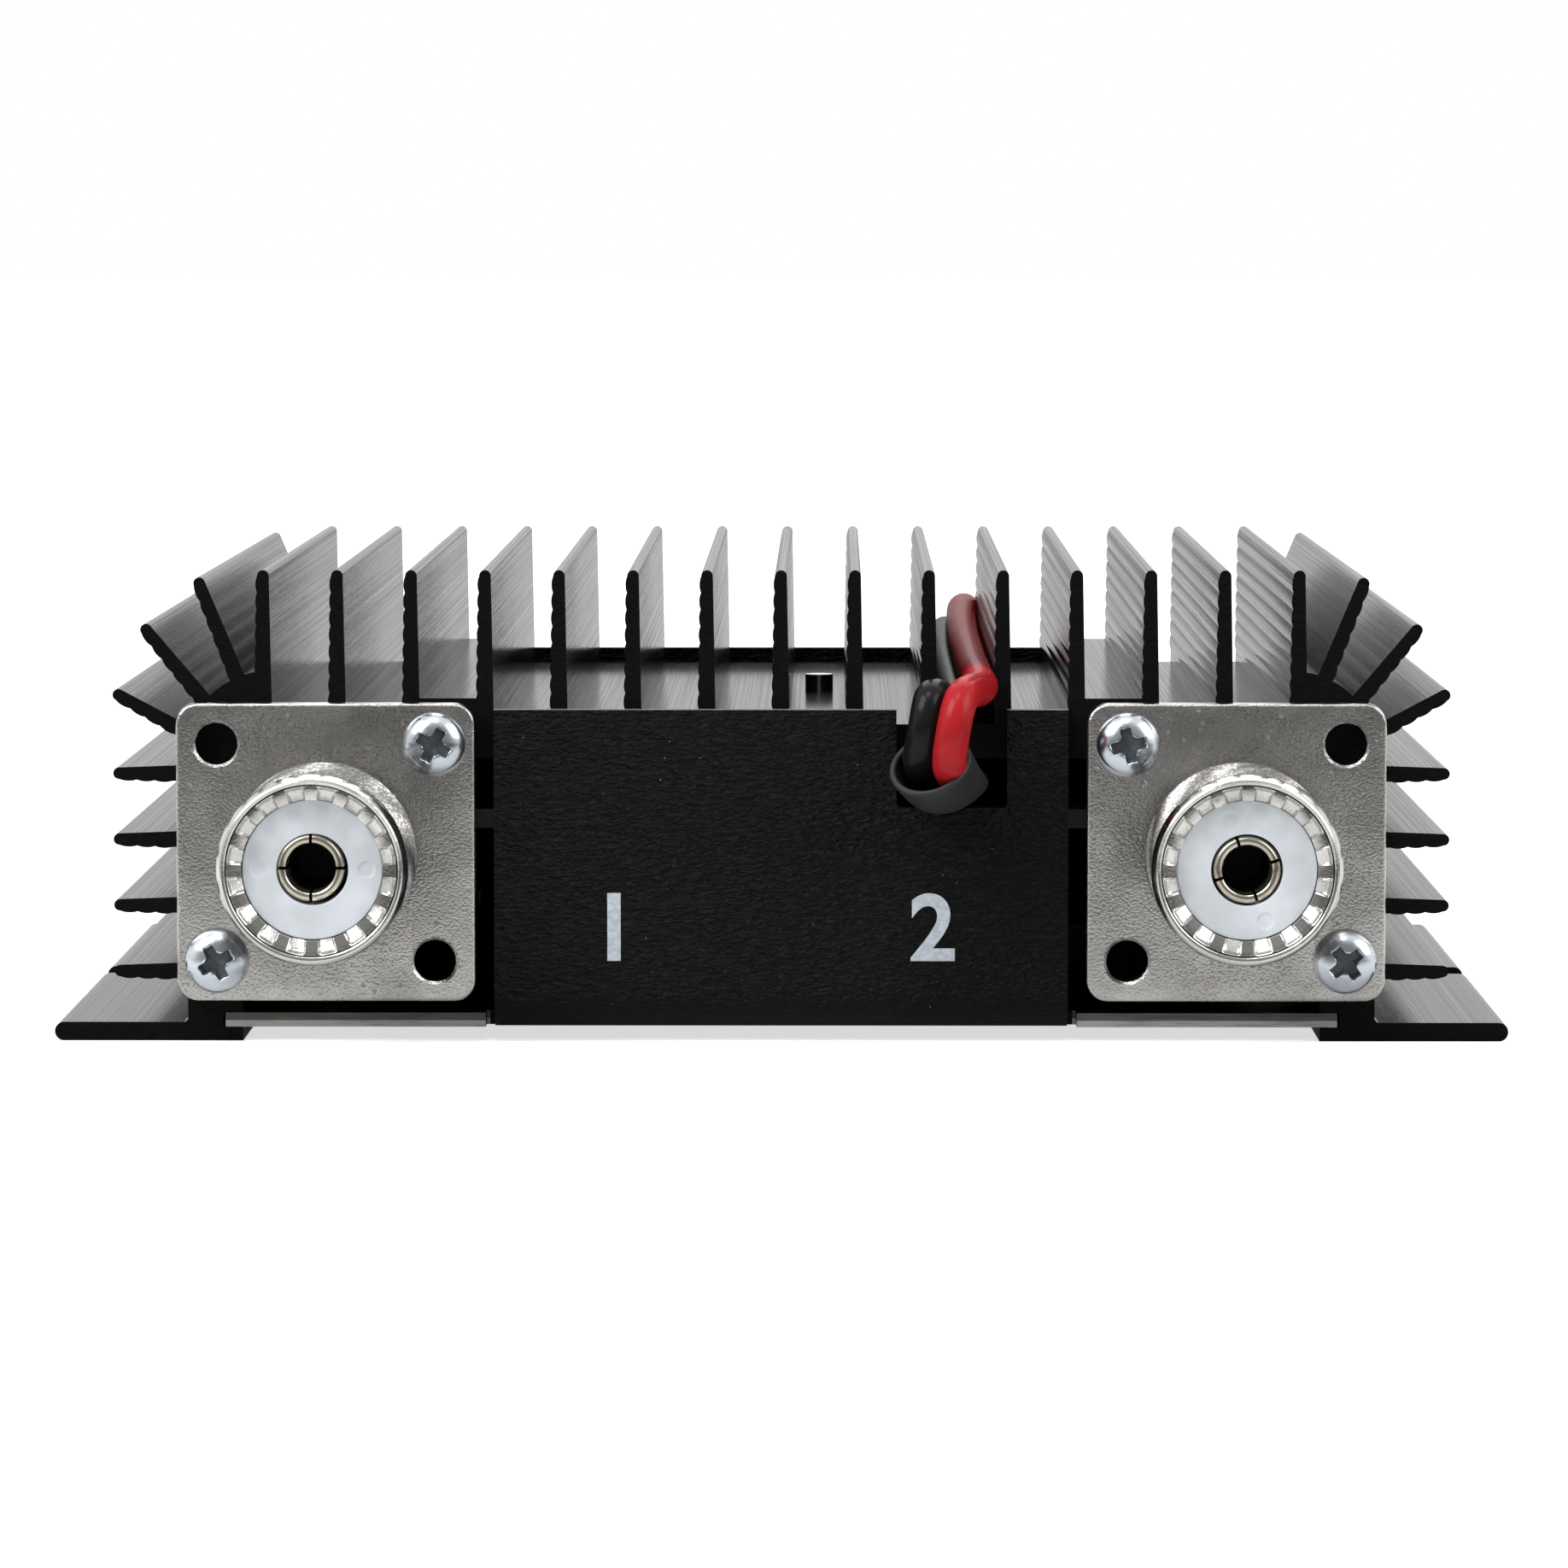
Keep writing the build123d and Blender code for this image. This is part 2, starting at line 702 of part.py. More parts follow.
def thermal_pad():
    """The insulating pad between the transistor and the plate."""
    half = tab_width / 2 + pad_margin
    low = (transistor_x - half, -tab_back - pad_margin, tab_top)
    high = (transistor_x + half, tab_front + case_length + pad_margin, plate_underside)
    hole = Cylinder(transistor_screw_diameter / 2 + round_fit, 2 * plate_underside)
    return block(low, high) - Pos(transistor_x, 0, plate_underside) * hole


def transistor_screw():
    """The screw that presses the transistor to the plate; its tip stands up between two fins."""
    seat = tab_top - tab_thickness
    length = floor + stud_height - seat
    screw = pan_screw(transistor_screw_diameter, length, transistor_screw_head)
    return Pos(transistor_x, 0, seat) * Rot(180, 0, 0) * screw


def transformer_core(size, place, tube):
    """A two-hole ferrite core under the board."""
    width, length, height = size
    core = Box(width, length, height)
    hole = Rot(90, 0, 0) * Cylinder(tube / 2 + round_fit, length + 2 * overrun)
    for x, _ in both_sides((width * tube_spacing_share / 2, 0)):
        core -= Pos(x, 0, 0) * hole
    return Pos(*place, board_underside - height / 2) * core


def transformer_winding(size, place, tube):
    """Two metal tubes through a core, joined by a plate at each end."""
    width, length, height = size
    plate_end = length / 2 + end_plate
    winding = Part()
    for sign in (-1, 1):
        near, far = sorted((sign * length / 2, sign * plate_end))
        winding += block((-width / 2, near, -height / 2), (width / 2, far, height / 2))
    long = 2 * (plate_end + tube_past_plate)
    columns = [x for x, _ in both_sides((width * tube_spacing_share / 2, 0))]
    for x in columns:
        winding += Pos(x, 0, 0) * Rot(90, 0, 0) * Cylinder(tube / 2, long)
    for x in columns:
        winding -= Pos(x, 0, 0) * Rot(90, 0, 0) * Cylinder(tube / 2 - tube_wall, long + overrun)
    return Pos(*place, board_underside - height / 2) * winding


def changeover_relay():
    """The relay that switches between receiving and sending: a case on a wider base."""
    width, length, height = relay_size
    edge = 2 * relay_base_edge
    case = extrude(RectangleRounded(width - edge, length - edge, relay_corner), -height)
    base = extrude(RectangleRounded(width, length, relay_corner), -relay_base)
    return Pos(*relay_place, board_underside) * (case + base)


def electrolytic_capacitors():
    """The supply capacitors: cans with a rolled groove near the board."""
    outer = can_diameter / 2
    groove_end = can_groove_start + can_groove_length
    can = turned(
        (0, 0),
        (outer, 0),
        (outer, -can_groove_start),
        (outer - can_groove, -can_groove_start - can_groove_length / 2),
        (outer, -groove_end),
        (outer, -can_height + can_groove),
        (outer - can_groove, -can_height),
        (0, -can_height),
    )
    return Part() + [Pos(*place, board_underside) * can for place in can_places]


def supply_choke():
    """The supply choke: a wound ring lying on the board's underside."""
    outer, inner = choke_outer / 2, choke_inner / 2
    return Pos(*choke_place, board_underside) * turned(
        (inner + choke_edge, 0),
        (outer - choke_edge, 0),
        (outer, -choke_edge),
        (outer, choke_edge - choke_height),
        (outer - choke_edge, -choke_height),
        (inner + choke_edge, -choke_height),
        (inner, choke_edge - choke_height),
        (inner, -choke_edge),
    )


def ceramic_capacitors():
    """Disc capacitors that hang from the board on two legs each."""
    middle = -disc_lift - disc_diameter / 2
    disc = Pos(0, 0, middle) * Rot(90, 0, 0) * Cylinder(disc_diameter / 2, disc_thickness)
    leg = Pos(0, 0, middle / 2) * Cylinder(disc_leg / 2, -middle)
    for x, _ in both_sides((disc_diameter * disc_leg_share / 2, 0)):
        disc += Pos(x, 0, 0) * leg
    return Part() + [Pos(x, disc_y, board_underside) * disc for x in disc_columns]


def resistors():
    """Two resistors that lie along the board on bent legs."""
    middle = -resistor_lift - resistor_diameter / 2
    body = Pos(0, 0, middle) * Rot(0, 90, 0) * Cylinder(resistor_diameter / 2, resistor_length)
    leg = Pos(0, 0, middle / 2) * Cylinder(resistor_leg / 2, -middle)
    for x, _ in both_sides((resistor_length / 2 - resistor_leg, 0)):
        body += Pos(x, 0, 0) * leg
    return Part() + [Pos(*place, board_underside) * body for place in resistor_places]


def switch_housing(x):
    """A rocker switch's body: bezel on the panel, open cavity, pivot holes, two terminals."""
    width, depth, height = switch_size
    hollow_width, hollow_depth, hollow_height = cavity_size
    back = panel_face - depth
    body = Pos(x, panel_face - depth / 2, control_height) * Box(width, depth, height)
    bezel = extrude(RectangleRounded(bezel_size[0], bezel_size[2], bezel_corner), bezel_size[1])
    body += facing_front(x, panel_face, control_height) * bezel
    hollow = Box(hollow_width, 2 * hollow_depth, hollow_height)
    body -= Pos(x, switch_face, control_height) * hollow
    pivot_hole = Cylinder(pivot_diameter / 2 + round_fit, width + overrun)
    body -= Pos(x, pivot_y, control_height) * Rot(0, 90, 0) * pivot_hole
    for sign in (-1, 1):
        z = control_height + sign * terminal_spread / 2
        body += Pos(x, back - terminal_size[1] / 2, z) * Box(*terminal_size)
    return body


def switch_rocker(x):
    """A rocker on its pivot pins, lying in its off position with the lower end pressed."""

    def on_end(angle, side):
        return rocker_radius * sin(radians(angle)), side * rocker_radius * cos(radians(angle))

    middle_angle = (rocker_top_angle + rocker_low_angle) / 2
    edges = [ThreePointArc(on_end(rocker_top_angle, -1), (rocker_valley, 0), on_end(rocker_top_angle, 1))]
    for side in (-1, 1):
        angles = (rocker_top_angle, middle_angle, rocker_low_angle)
        edges.append(ThreePointArc(*[on_end(angle, side) for angle in angles]))
    edges.append(Line(on_end(rocker_low_angle, -1), on_end(rocker_low_angle, 1)))
    rocker = extrude(Plane.YZ * make_face(edges), rocker_width / 2, both=True)
    rocker += Rot(0, 90, 0) * Cylinder(pivot_diameter / 2, pivot_length)
    return Pos(x, pivot_y, control_height) * Rot(-rocker_throw / 2, 0, 0) * rocker


def lamp_holders():
    """The two ring holders in the front panel."""
    inner = lamp_diameter / 2 + round_fit
    sleeve = holder_sleeve / 2
    outer = holder_diameter / 2
    holder = turned(
        (inner, -holder_length),
        (sleeve, -holder_length),
        (sleeve, 0),
        (outer, 0),
        (outer, holder_proud - holder_edge),
        (outer - holder_edge, holder_proud),
        (inner, holder_proud),
    )
    return Part() + [facing_front(x, panel_face, control_height) * holder for x in lamp_columns]


def lamp(x):
    """A lamp with a round nose and a collar behind its holder."""
    radius = lamp_diameter / 2
    collar = lamp_collar / 2
    back = -holder_length - lamp_collar_length
    nose = lamp_proud - radius
    outline = [
        Polyline((0, lamp_proud), (0, back), (collar, back), (collar, -holder_length)),
        Polyline((collar, -holder_length), (radius, -holder_length), (radius, nose)),
        CenterArc((0, nose), radius, 0, 90),
    ]
    solid = revolve(Plane.XZ * make_face(outline), Axis.Z)
    return facing_front(x, panel_face, control_height) * solid


def route_path(points):
    """Straight runs joined by arcs, and the arcs' radii."""
    vectors = [Vector(*point) for point in points]
    radii = []
    for before, corner, after in zip(vectors, vectors[1:], vectors[2:]):
        turn = radians((corner - before).get_angle(after - corner))
        run = min((corner - before).length, (after - corner).length)
        radii.append(corner_share * run / tan(turn / 2))
    return FilletPolyline(*vectors, radius=radii), radii


def tube_along(path, start, way, diameter):
    """A round tube along a path that leaves a point in a direction."""
    return sweep(Plane(start, z_dir=way) * Circle(diameter / 2), path)


def route_tube(points, diameter):
    """A round tube along straight runs that are joined by arcs."""
    start, second = Vector(*points[0]), Vector(*points[1])
    return tube_along(route_path(points)[0], start, second - start, diameter)


def power_cord():
    """The lead from inside its sleeve to the coil."""
    path, radii = route_path(lead_route)
    cord = route_tube(lead_route, lead_diameter)
    print("lead radii", [round(radius, 1) for radius in radii], "length", round(path.length, 1))
    print("lead volume", round(cord.volume), "of", round(path.length * pi * lead_diameter**2 / 4))
    return cord


def sleeve_plane(place, way):
    """The plane of a sleeve section, with its first axis along X."""
    return Plane(place, x_dir=(1, 0, 0), z_dir=way)


def cord_sleeve():
    """The soft sleeve that is pressed flat in the panel's notch and opens upwards around the lead."""
    start, second = Vector(*lead_route[0]), Vector(*lead_route[1])
    x, z = sleeve_place
    neck = sleeve_plane(start, second - start)
    mouth = sleeve_plane(sleeve_mouth, sleeve_mouth_way)
    half = sleeve_diameter / 2
    sections = []
    for y in (-sleeve_inner_end, -sleeve_outer_flat):
        sections.append(sleeve_plane((x, y, z), (0, -1, 0)) * Ellipse(half, sleeve_flat_height / 2))
    sections += [neck * Circle(half), mouth * Circle(half)]
    hollow = half - sleeve_wall
    cavity = loft([neck * Circle(hollow), mouth.offset(overrun) * Circle(hollow)])
    return loft(sections) - cavity


def inner_leads():
    """The two conductors from the sleeve to the board's upper face."""
    x, z = sleeve_place
    wires = []
    for sign in (-1, 1):
        column = x + sign * conductor_diameter / 2
        bend = -sleeve_inner_end + inner_lead_run
        points = [(column, -sleeve_inner_end, z), (column, bend, z), (column, bend, board_top)]
        wires.append(route_tube(points, inner_lead_diameter))
    return Part() + wires


def coil_point(turn):
    """A point of the coil's middle line, a number of turns after its start."""
    inner = coil_outer - coil_step * coil_turns
    climbed = coil_turns + climb_turns
    radius, height = inner, coil_high
    if turn < coil_turns:
        radius, height = coil_outer - coil_step * turn, coil_low
    elif turn < climbed:
        height = coil_low + coil_rise * (1 - cos(pi * (turn - coil_turns) / climb_turns)) / 2
    else:
        radius = inner + coil_step * (turn - climbed)
    angle = 2 * pi * turn
    return Vector(coil_middle[0] + radius * cos(angle), coil_middle[1] + radius * sin(angle), height)


def arc_pair(start, start_way, end, end_way):
    """Two arcs that join two points and keep the directions there."""
    chord = end - start
    ways = start_way + end_way
    along = chord.dot(ways)
    spread = 4 - ways.dot(ways)
    reach = (sqrt(along**2 + spread * chord.dot(chord)) - along) / spread
    first = start + start_way * reach
    second = end - end_way * reach
    joint = (first + second) / 2
    return [
        Edge.make_tangent_arc(start, start_way, joint),
        Edge.make_tangent_arc(joint, second - first, end),
    ]


def coil_path():
    """The coil's middle line: a straight end, two flat layers with a climb between, a straight end."""
    total = 2 * coil_turns + climb_turns
    count = round(total * coil_spans)
    turns = [number * total / count for number in range(count + 1)]
    step = total / count / coil_spans
    points = [coil_point(turn) for turn in turns]
    ways = [(coil_point(turn + step) - coil_point(turn - step)).normalized() for turn in turns]
    ways[0], ways[-1] = Vector(0, 1, 0), Vector(0, -1, 0)
    edges = [Edge.make_line(points[0] - ways[0] * lead_diameter, points[0])]
    for index in range(count):
        edges += arc_pair(points[index], ways[index], points[index + 1], ways[index + 1])
    edges.append(Edge.make_line(points[-1], points[-1] + ways[-1] * lead_diameter))
    return Wire(edges)


def least_self_gap(path):
    """The least gap between parts of the coil that lie at least half a turn apart along it."""
    count = round(path.length / lead_diameter)
    points = [path.position_at(number / count) for number in range(count + 1)]
    apart = round(pi * (coil_outer - coil_step * coil_turns) / lead_diameter)
    pairs = [(a, b) for index, a in enumerate(points) for b in points[index + apart :]]
    return min((a - b).length for a, b in pairs) - lead_diameter


def cord_coil():
    """The rest of the lead, wound in two layers."""
    path = coil_path()
    start = path.position_at(0)
    coil = tube_along(path, start, Vector(0, 1, 0), lead_diameter)
    print("coil length", round(path.length, 1), "least gap", round(least_self_gap(path), 2))
    print("coil volume", round(coil.volume), "of", round(path.length * pi * lead_diameter**2 / 4))
    return coil


def coil_tie():
    """The band around the coil, where it has two strands in each layer."""
    inner_strand = coil_outer - coil_step * (coil_turns - 1 / coil_spans)
    half_depth = coil_step / 2 + lead_diameter / 2 + tie_slack
    height = coil_rise + lead_diameter + 2 * tie_gap
    edge = 2 * tie_thickness
    band = RectangleRounded(2 * half_depth + edge, height + edge, tie_corner)
    band -= RectangleRounded(2 * half_depth, height, tie_corner - tie_thickness)
    y = coil_middle[1] - inner_strand - coil_step / 2
    z = (coil_low + coil_high) / 2
    tie = Pos(coil_middle[0], y, z) * extrude(Plane.YZ * band, tie_width / 2, both=True)
    head_z = z + height / 2 + tie_thickness + tie_head_height / 2
    return tie + Pos(coil_middle[0], y, head_z) * Box(tie_head, tie_head, tie_head_height)


def tail_points(sign):
    """The route of one conductor beyond the coil."""
    x = coil_middle[0] - coil_outer
    y = coil_middle[1] - lead_diameter
    return [(x + sign * out, y - along, height) for out, along, height in tail_route]


def lead_end(sign):
    """The insulated end of one conductor."""
    return route_tube(tail_points(sign), conductor_diameter)


def lead_tips():
    """The bare tinned ends of the two conductors."""
    tips = []
    for sign in (-1, 1):
        before, end = [Vector(*point) for point in tail_points(sign)[-2:]]
        tips.append(extrude(Plane(end, z_dir=end - before) * Circle(tip_diameter / 2), tip_length))
    return Part() + tips


def pieces():
    """Every piece by its name."""
    named = {
        "heatsink": heatsink(),
        "bottom_cover": bottom_cover(),
        "front_panel": front_panel(),
        "front_panel_screws": front_panel_screws(),
        "cover_screws": cover_screws(),
        "socket_screws": socket_screws(),
        "circuit_board": circuit_board(),
        "board_spacers": board_spacers(),
        "board_screws": board_screws(),
        "power_transistor": power_transistor(),
        "thermal_pad": thermal_pad(),
        "transistor_screw": transistor_screw(),
        "changeover_relay": changeover_relay(),
        "electrolytic_capacitors": electrolytic_capacitors(),
        "supply_choke": supply_choke(),
        "ceramic_capacitors": ceramic_capacitors(),
        "resistors": resistors(),
        "lamp_holders": lamp_holders(),
        "power_lamp": lamp(lamp_columns[0]),
        "transmit_lamp": lamp(lamp_columns[1]),
        "cord_sleeve": cord_sleeve(),
        "inner_leads": inner_leads(),
        "power_cord": power_cord(),
        "cord_coil": cord_coil(),
        "coil_tie": coil_tie(),
        "red_lead_end": lead_end(-1),
        "black_lead_end": lead_end(1),
        "lead_tips": lead_tips(),
    }
    for name, side, turn in zip(("input", "output"), (-1, 1), contact_turns):
        place = facing_rear(side * socket_x, -half_length, socket_height)
        named[name + "_socket_body"] = place * socket_body()
        named[name + "_socket_insulator"] = place * socket_insulator()
        named[name + "_socket_contact"] = place * Rot(0, 0, turn) * socket_contact()
    cores = (
        ("input", input_core_size, input_core_place, input_tube),
        ("output", output_core_size, output_core_place, output_tube),
    )
    for name, size, place, tube in cores:
        named[name + "_transformer_core"] = transformer_core(size, place, tube)
        named[name + "_transformer_winding"] = transformer_winding(size, place, tube)
    for name, x in zip(("power", "mode"), switch_columns):
        named[name + "_switch_body"] = switch_housing(x)
        named[name + "_switch_rocker"] = switch_rocker(x)
    return named


os.makedirs("parts", exist_ok=True)
for piece_name, piece in pieces().items():
    export_step(piece, "parts/" + piece_name + ".step")
    print(piece_name, round(piece.volume, 1))
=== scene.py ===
"""Looks of a radio amplifier in a finned housing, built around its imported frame."""

import logging
from dataclasses import dataclass
from enum import Enum
from functools import reduce
from math import cos, pi, radians, sin, tau
from operator import add
from typing import Callable, Mapping, Optional, Sequence, Union

import bmesh
import bpy
import numpy as np
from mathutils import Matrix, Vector


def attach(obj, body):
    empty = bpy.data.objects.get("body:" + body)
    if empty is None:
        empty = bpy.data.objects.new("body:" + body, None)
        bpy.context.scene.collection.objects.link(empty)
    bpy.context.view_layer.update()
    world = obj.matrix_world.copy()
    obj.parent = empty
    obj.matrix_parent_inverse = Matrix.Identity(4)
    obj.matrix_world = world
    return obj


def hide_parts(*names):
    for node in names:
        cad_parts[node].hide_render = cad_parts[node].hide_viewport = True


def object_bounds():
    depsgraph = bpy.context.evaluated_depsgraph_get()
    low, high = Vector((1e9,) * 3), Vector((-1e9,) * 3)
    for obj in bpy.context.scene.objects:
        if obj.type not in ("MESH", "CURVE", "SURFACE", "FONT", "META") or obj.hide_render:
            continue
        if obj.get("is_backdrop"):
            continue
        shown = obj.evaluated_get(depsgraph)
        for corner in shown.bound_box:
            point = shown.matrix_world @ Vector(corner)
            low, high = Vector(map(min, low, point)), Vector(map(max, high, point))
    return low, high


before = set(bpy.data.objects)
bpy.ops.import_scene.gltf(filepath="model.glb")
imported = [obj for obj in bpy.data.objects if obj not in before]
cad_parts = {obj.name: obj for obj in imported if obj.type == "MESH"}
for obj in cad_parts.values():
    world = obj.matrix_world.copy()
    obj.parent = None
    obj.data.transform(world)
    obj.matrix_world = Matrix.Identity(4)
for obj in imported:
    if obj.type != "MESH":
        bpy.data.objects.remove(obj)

LOG = logging.getLogger("amplifier")
MM = 0.001
CHASSIS = "chassis"
# Points of a mesh that lie nearer than this are merged, in metres
MERGE_REACH = 1e-7

Pair = tuple[float, float]
Colour = tuple[float, float, float]
Point = tuple[float, float, float]
Axes = tuple[Point, Point, Point]
Scale = Union[float, Point]
Input = Union["Value", float, tuple]
Settings = Mapping[str, object]
Sockets = Mapping[Union[str, int], Input]

# Where a form's own X, Y and Z axes point when it stands on the rear, on the front or as it was made
REARWARD: Axes = ((1, 0, 0), (0, 0, 1), (0, -1, 0))
FORWARD: Axes = ((-1, 0, 0), (0, 0, 1), (0, 1, 0))
UPRIGHT: Axes = ((1, 0, 0), (0, 1, 0), (0, 0, 1))


# Shader expressions


def math_method(operation: str, reflected: bool = False) -> Callable[..., "Value"]:
    """An operator's method, which adds a Math node; a reflected one has the number on its left."""

    def method(self: "Value", other: Input = 0.0) -> "Value":
        """The value of the new node."""
        pair = (other, self) if reflected else (self, other)
        return self.graph.math(operation, *pair)

    return method


@dataclass(frozen=True)
class Value:
    """A node's output that takes part in Python arithmetic. A comparison gives one or zero."""

    graph: "Graph"
    socket: bpy.types.NodeSocket

    __add__ = math_method("ADD")
    __radd__ = math_method("ADD", True)
    __sub__ = math_method("SUBTRACT")
    __rsub__ = math_method("SUBTRACT", True)
    __mul__ = math_method("MULTIPLY")
    __rmul__ = math_method("MULTIPLY", True)
    __gt__ = math_method("GREATER_THAN")
    __lt__ = math_method("LESS_THAN")
    __abs__ = math_method("ABSOLUTE")

    def step(self, low: float, high: float) -> "Value":
        """Smooth step from zero at low to one at high."""
        settings = {"interpolation_type": "SMOOTHSTEP"}
        return self.graph.value("ShaderNodeMapRange", settings, {0: self, 1: low, 2: high})


class Graph:
    """The node tree of one finish, with short ways to add nodes to it."""

    def __init__(self, tree: bpy.types.NodeTree) -> None:
        """Empties the node tree of a material or of the world."""
        self.tree = tree
        tree.nodes.clear()

    def node(self, kind: str, settings: Settings = {}, sockets: Sockets = {}) -> bpy.types.Node:
        """Adds any node, sets its settings, then feeds its sockets.

        Args:
            kind: Node type, such as ShaderNodeMath.
            settings: Attributes of the node.
            sockets: Values or links, by the input's name or number.

        Returns:
            The new node.
        """
        made = self.tree.nodes.new(kind)
        for key, setting in settings.items():
            setattr(made, key, setting)
        for key, fed in sockets.items():
            if isinstance(fed, Value):
                self.tree.links.new(fed.socket, made.inputs[key])
            else:
                made.inputs[key].default_value = fed
        return made

    def value(
        self, kind: str, settings: Settings = {}, sockets: Sockets = {}, output: Union[int, str] = 0
    ) -> Value:
        """Adds any node in the same way and gives one of its outputs."""
        return Value(self, self.node(kind, settings, sockets).outputs[output])

    def math(self, operation: str, first: Input, second: Input) -> Value:
        """A Math node on two values."""
        return self.value("ShaderNodeMath", {"operation": operation}, {0: first, 1: second})

    def blend(self, share: Input, first: Input, second: Input) -> Value:
        """A colour that goes from the first to the second as the share goes from 0 to 1."""
        pair = [(*colour, 1.0) if isinstance(colour, tuple) else colour for colour in (first, second)]
        return self.value("ShaderNodeMix", {"data_type": "RGBA"}, {0: share, 6: pair[0], 7: pair[1]}, 2)

    def place(self, scale: Scale = 1.0) -> Value:
        """Object coordinates, scaled along each axis or by one number along all three."""
        scales = scale if isinstance(scale, tuple) else (scale,) * 3
        where = self.value("ShaderNodeTexCoord", output="Object")
        return self.value("ShaderNodeMapping", {}, {"Vector": where, "Scale": scales})

    def split(self, vector: Value) -> tuple[Value, ...]:
        """The three parts of a vector."""
        made = self.node("ShaderNodeSeparateXYZ", {}, {0: vector})
        return tuple(Value(self, part) for part in made.outputs)

    def facing(self) -> tuple[Value, ...]:
        """The surface's own direction, as three parts."""
        return self.split(self.value("ShaderNodeNewGeometry", output="Normal"))

    def rays(self, *kinds: str) -> tuple[Value, ...]:
        """For each kind of ray, by its name in the Light Path node, whether it is one."""
        made = self.node("ShaderNodeLightPath")
        return tuple(Value(self, made.outputs[kind]) for kind in kinds)

    def noise(self, scale: Scale, detail: float = 2.0, rough: float = 0.5, twist: float = 0.0) -> Value:
        """Cloudy noise from 0 to 1.

        Args:
            scale: Patches per metre, along each axis or along all three.
            detail: Octaves of finer noise.
            rough: Strength of the finer octaves.
            twist: How far the pattern is drawn into swirls.

        Returns:
            The noise value.
        """
        sockets = {"Vector": self.place(scale), "Scale": 1.0, "Detail": detail}
        return self.value("ShaderNodeTexNoise", {}, sockets | {"Roughness": rough, "Distortion": twist})

    def cells(self, scale: float) -> Value:
        """Distance to the nearest of scattered points, so many per metre, for pits and specks."""
        sockets = {"Vector": self.place(scale), "Scale": 1.0}
        return self.value("ShaderNodeTexVoronoi", {}, sockets, "Distance")

    def bump(self, height: Value, depth_mm: float) -> Value:
        """A surface direction roughened by a height pattern of the given depth."""
        return self.value("ShaderNodeBump", {}, {"Height": height, "Distance": depth_mm * MM})

    def surface(self, sockets: Sockets, share: Input = 0.0, second: Sockets = {}) -> None:
        """Ends a material in a Principled shader, or in two that a share goes between.

        Args:
            sockets: Inputs of the first shader.
            share: How far the surface is the second shader.
            second: Inputs of the second shader, if there is one.
        """
        kind = "ShaderNodeBsdfPrincipled"
        shader = self.value(kind, {}, sockets)
        if second:
            pair = {0: share, 1: shader, 2: self.value(kind, {}, second)}
            shader = self.value("ShaderNodeMixShader", {}, pair)
        self.node("ShaderNodeOutputMaterial", {}, {0: shader})


# Finishes. A noise's first numbers are its patches per metre, and the two of a step are the levels
# between which it rises. A gloss is a shader's Specular IOR Level.


def tinted(colour: Colour, factor: float) -> Colour:
    """A colour made lighter or darker by a factor."""
    return tuple(min(part * factor, 1.0) for part in colour)


@dataclass(frozen=True)
class Finish:
    """A surface finish. A plain one varies a little in colour and roughness."""

    name: str
    colour: Colour
    roughness: float

    def tone(self, graph: Graph, share: Input, low: float, high: float) -> Value:
        """The colour, which goes from one tint of it to another as the share goes from 0 to 1."""
        return graph.blend(share, tinted(self.colour, low), tinted(self.colour, high))

    def shade(self, graph: Graph) -> None:
        """Lays the finish's nodes into an empty graph."""
        cloud = graph.noise(260.0, 3.0)
        grain = graph.noise(5200.0, 1.0)
        base = self.tone(graph, cloud.step(0.3, 0.7), 0.9, 1.1)
        rough = self.roughness + 0.1 * (cloud - 0.5)
        graph.surface({"Base Color": base, "Roughness": rough, "Normal": graph.bump(grain, 0.008)})

    def material(self) -> bpy.types.Material:
        """The material of this finish, made once and named apart from the frame's own."""
        title = f"{self.name}_look"
        made = bpy.data.materials.get(title)
        if made is None:
            made = bpy.data.materials.new(title)
            made.use_nodes = True
            made.diffuse_color = (*self.colour, 1.0)
            self.shade(Graph(made.node_tree))
        return made


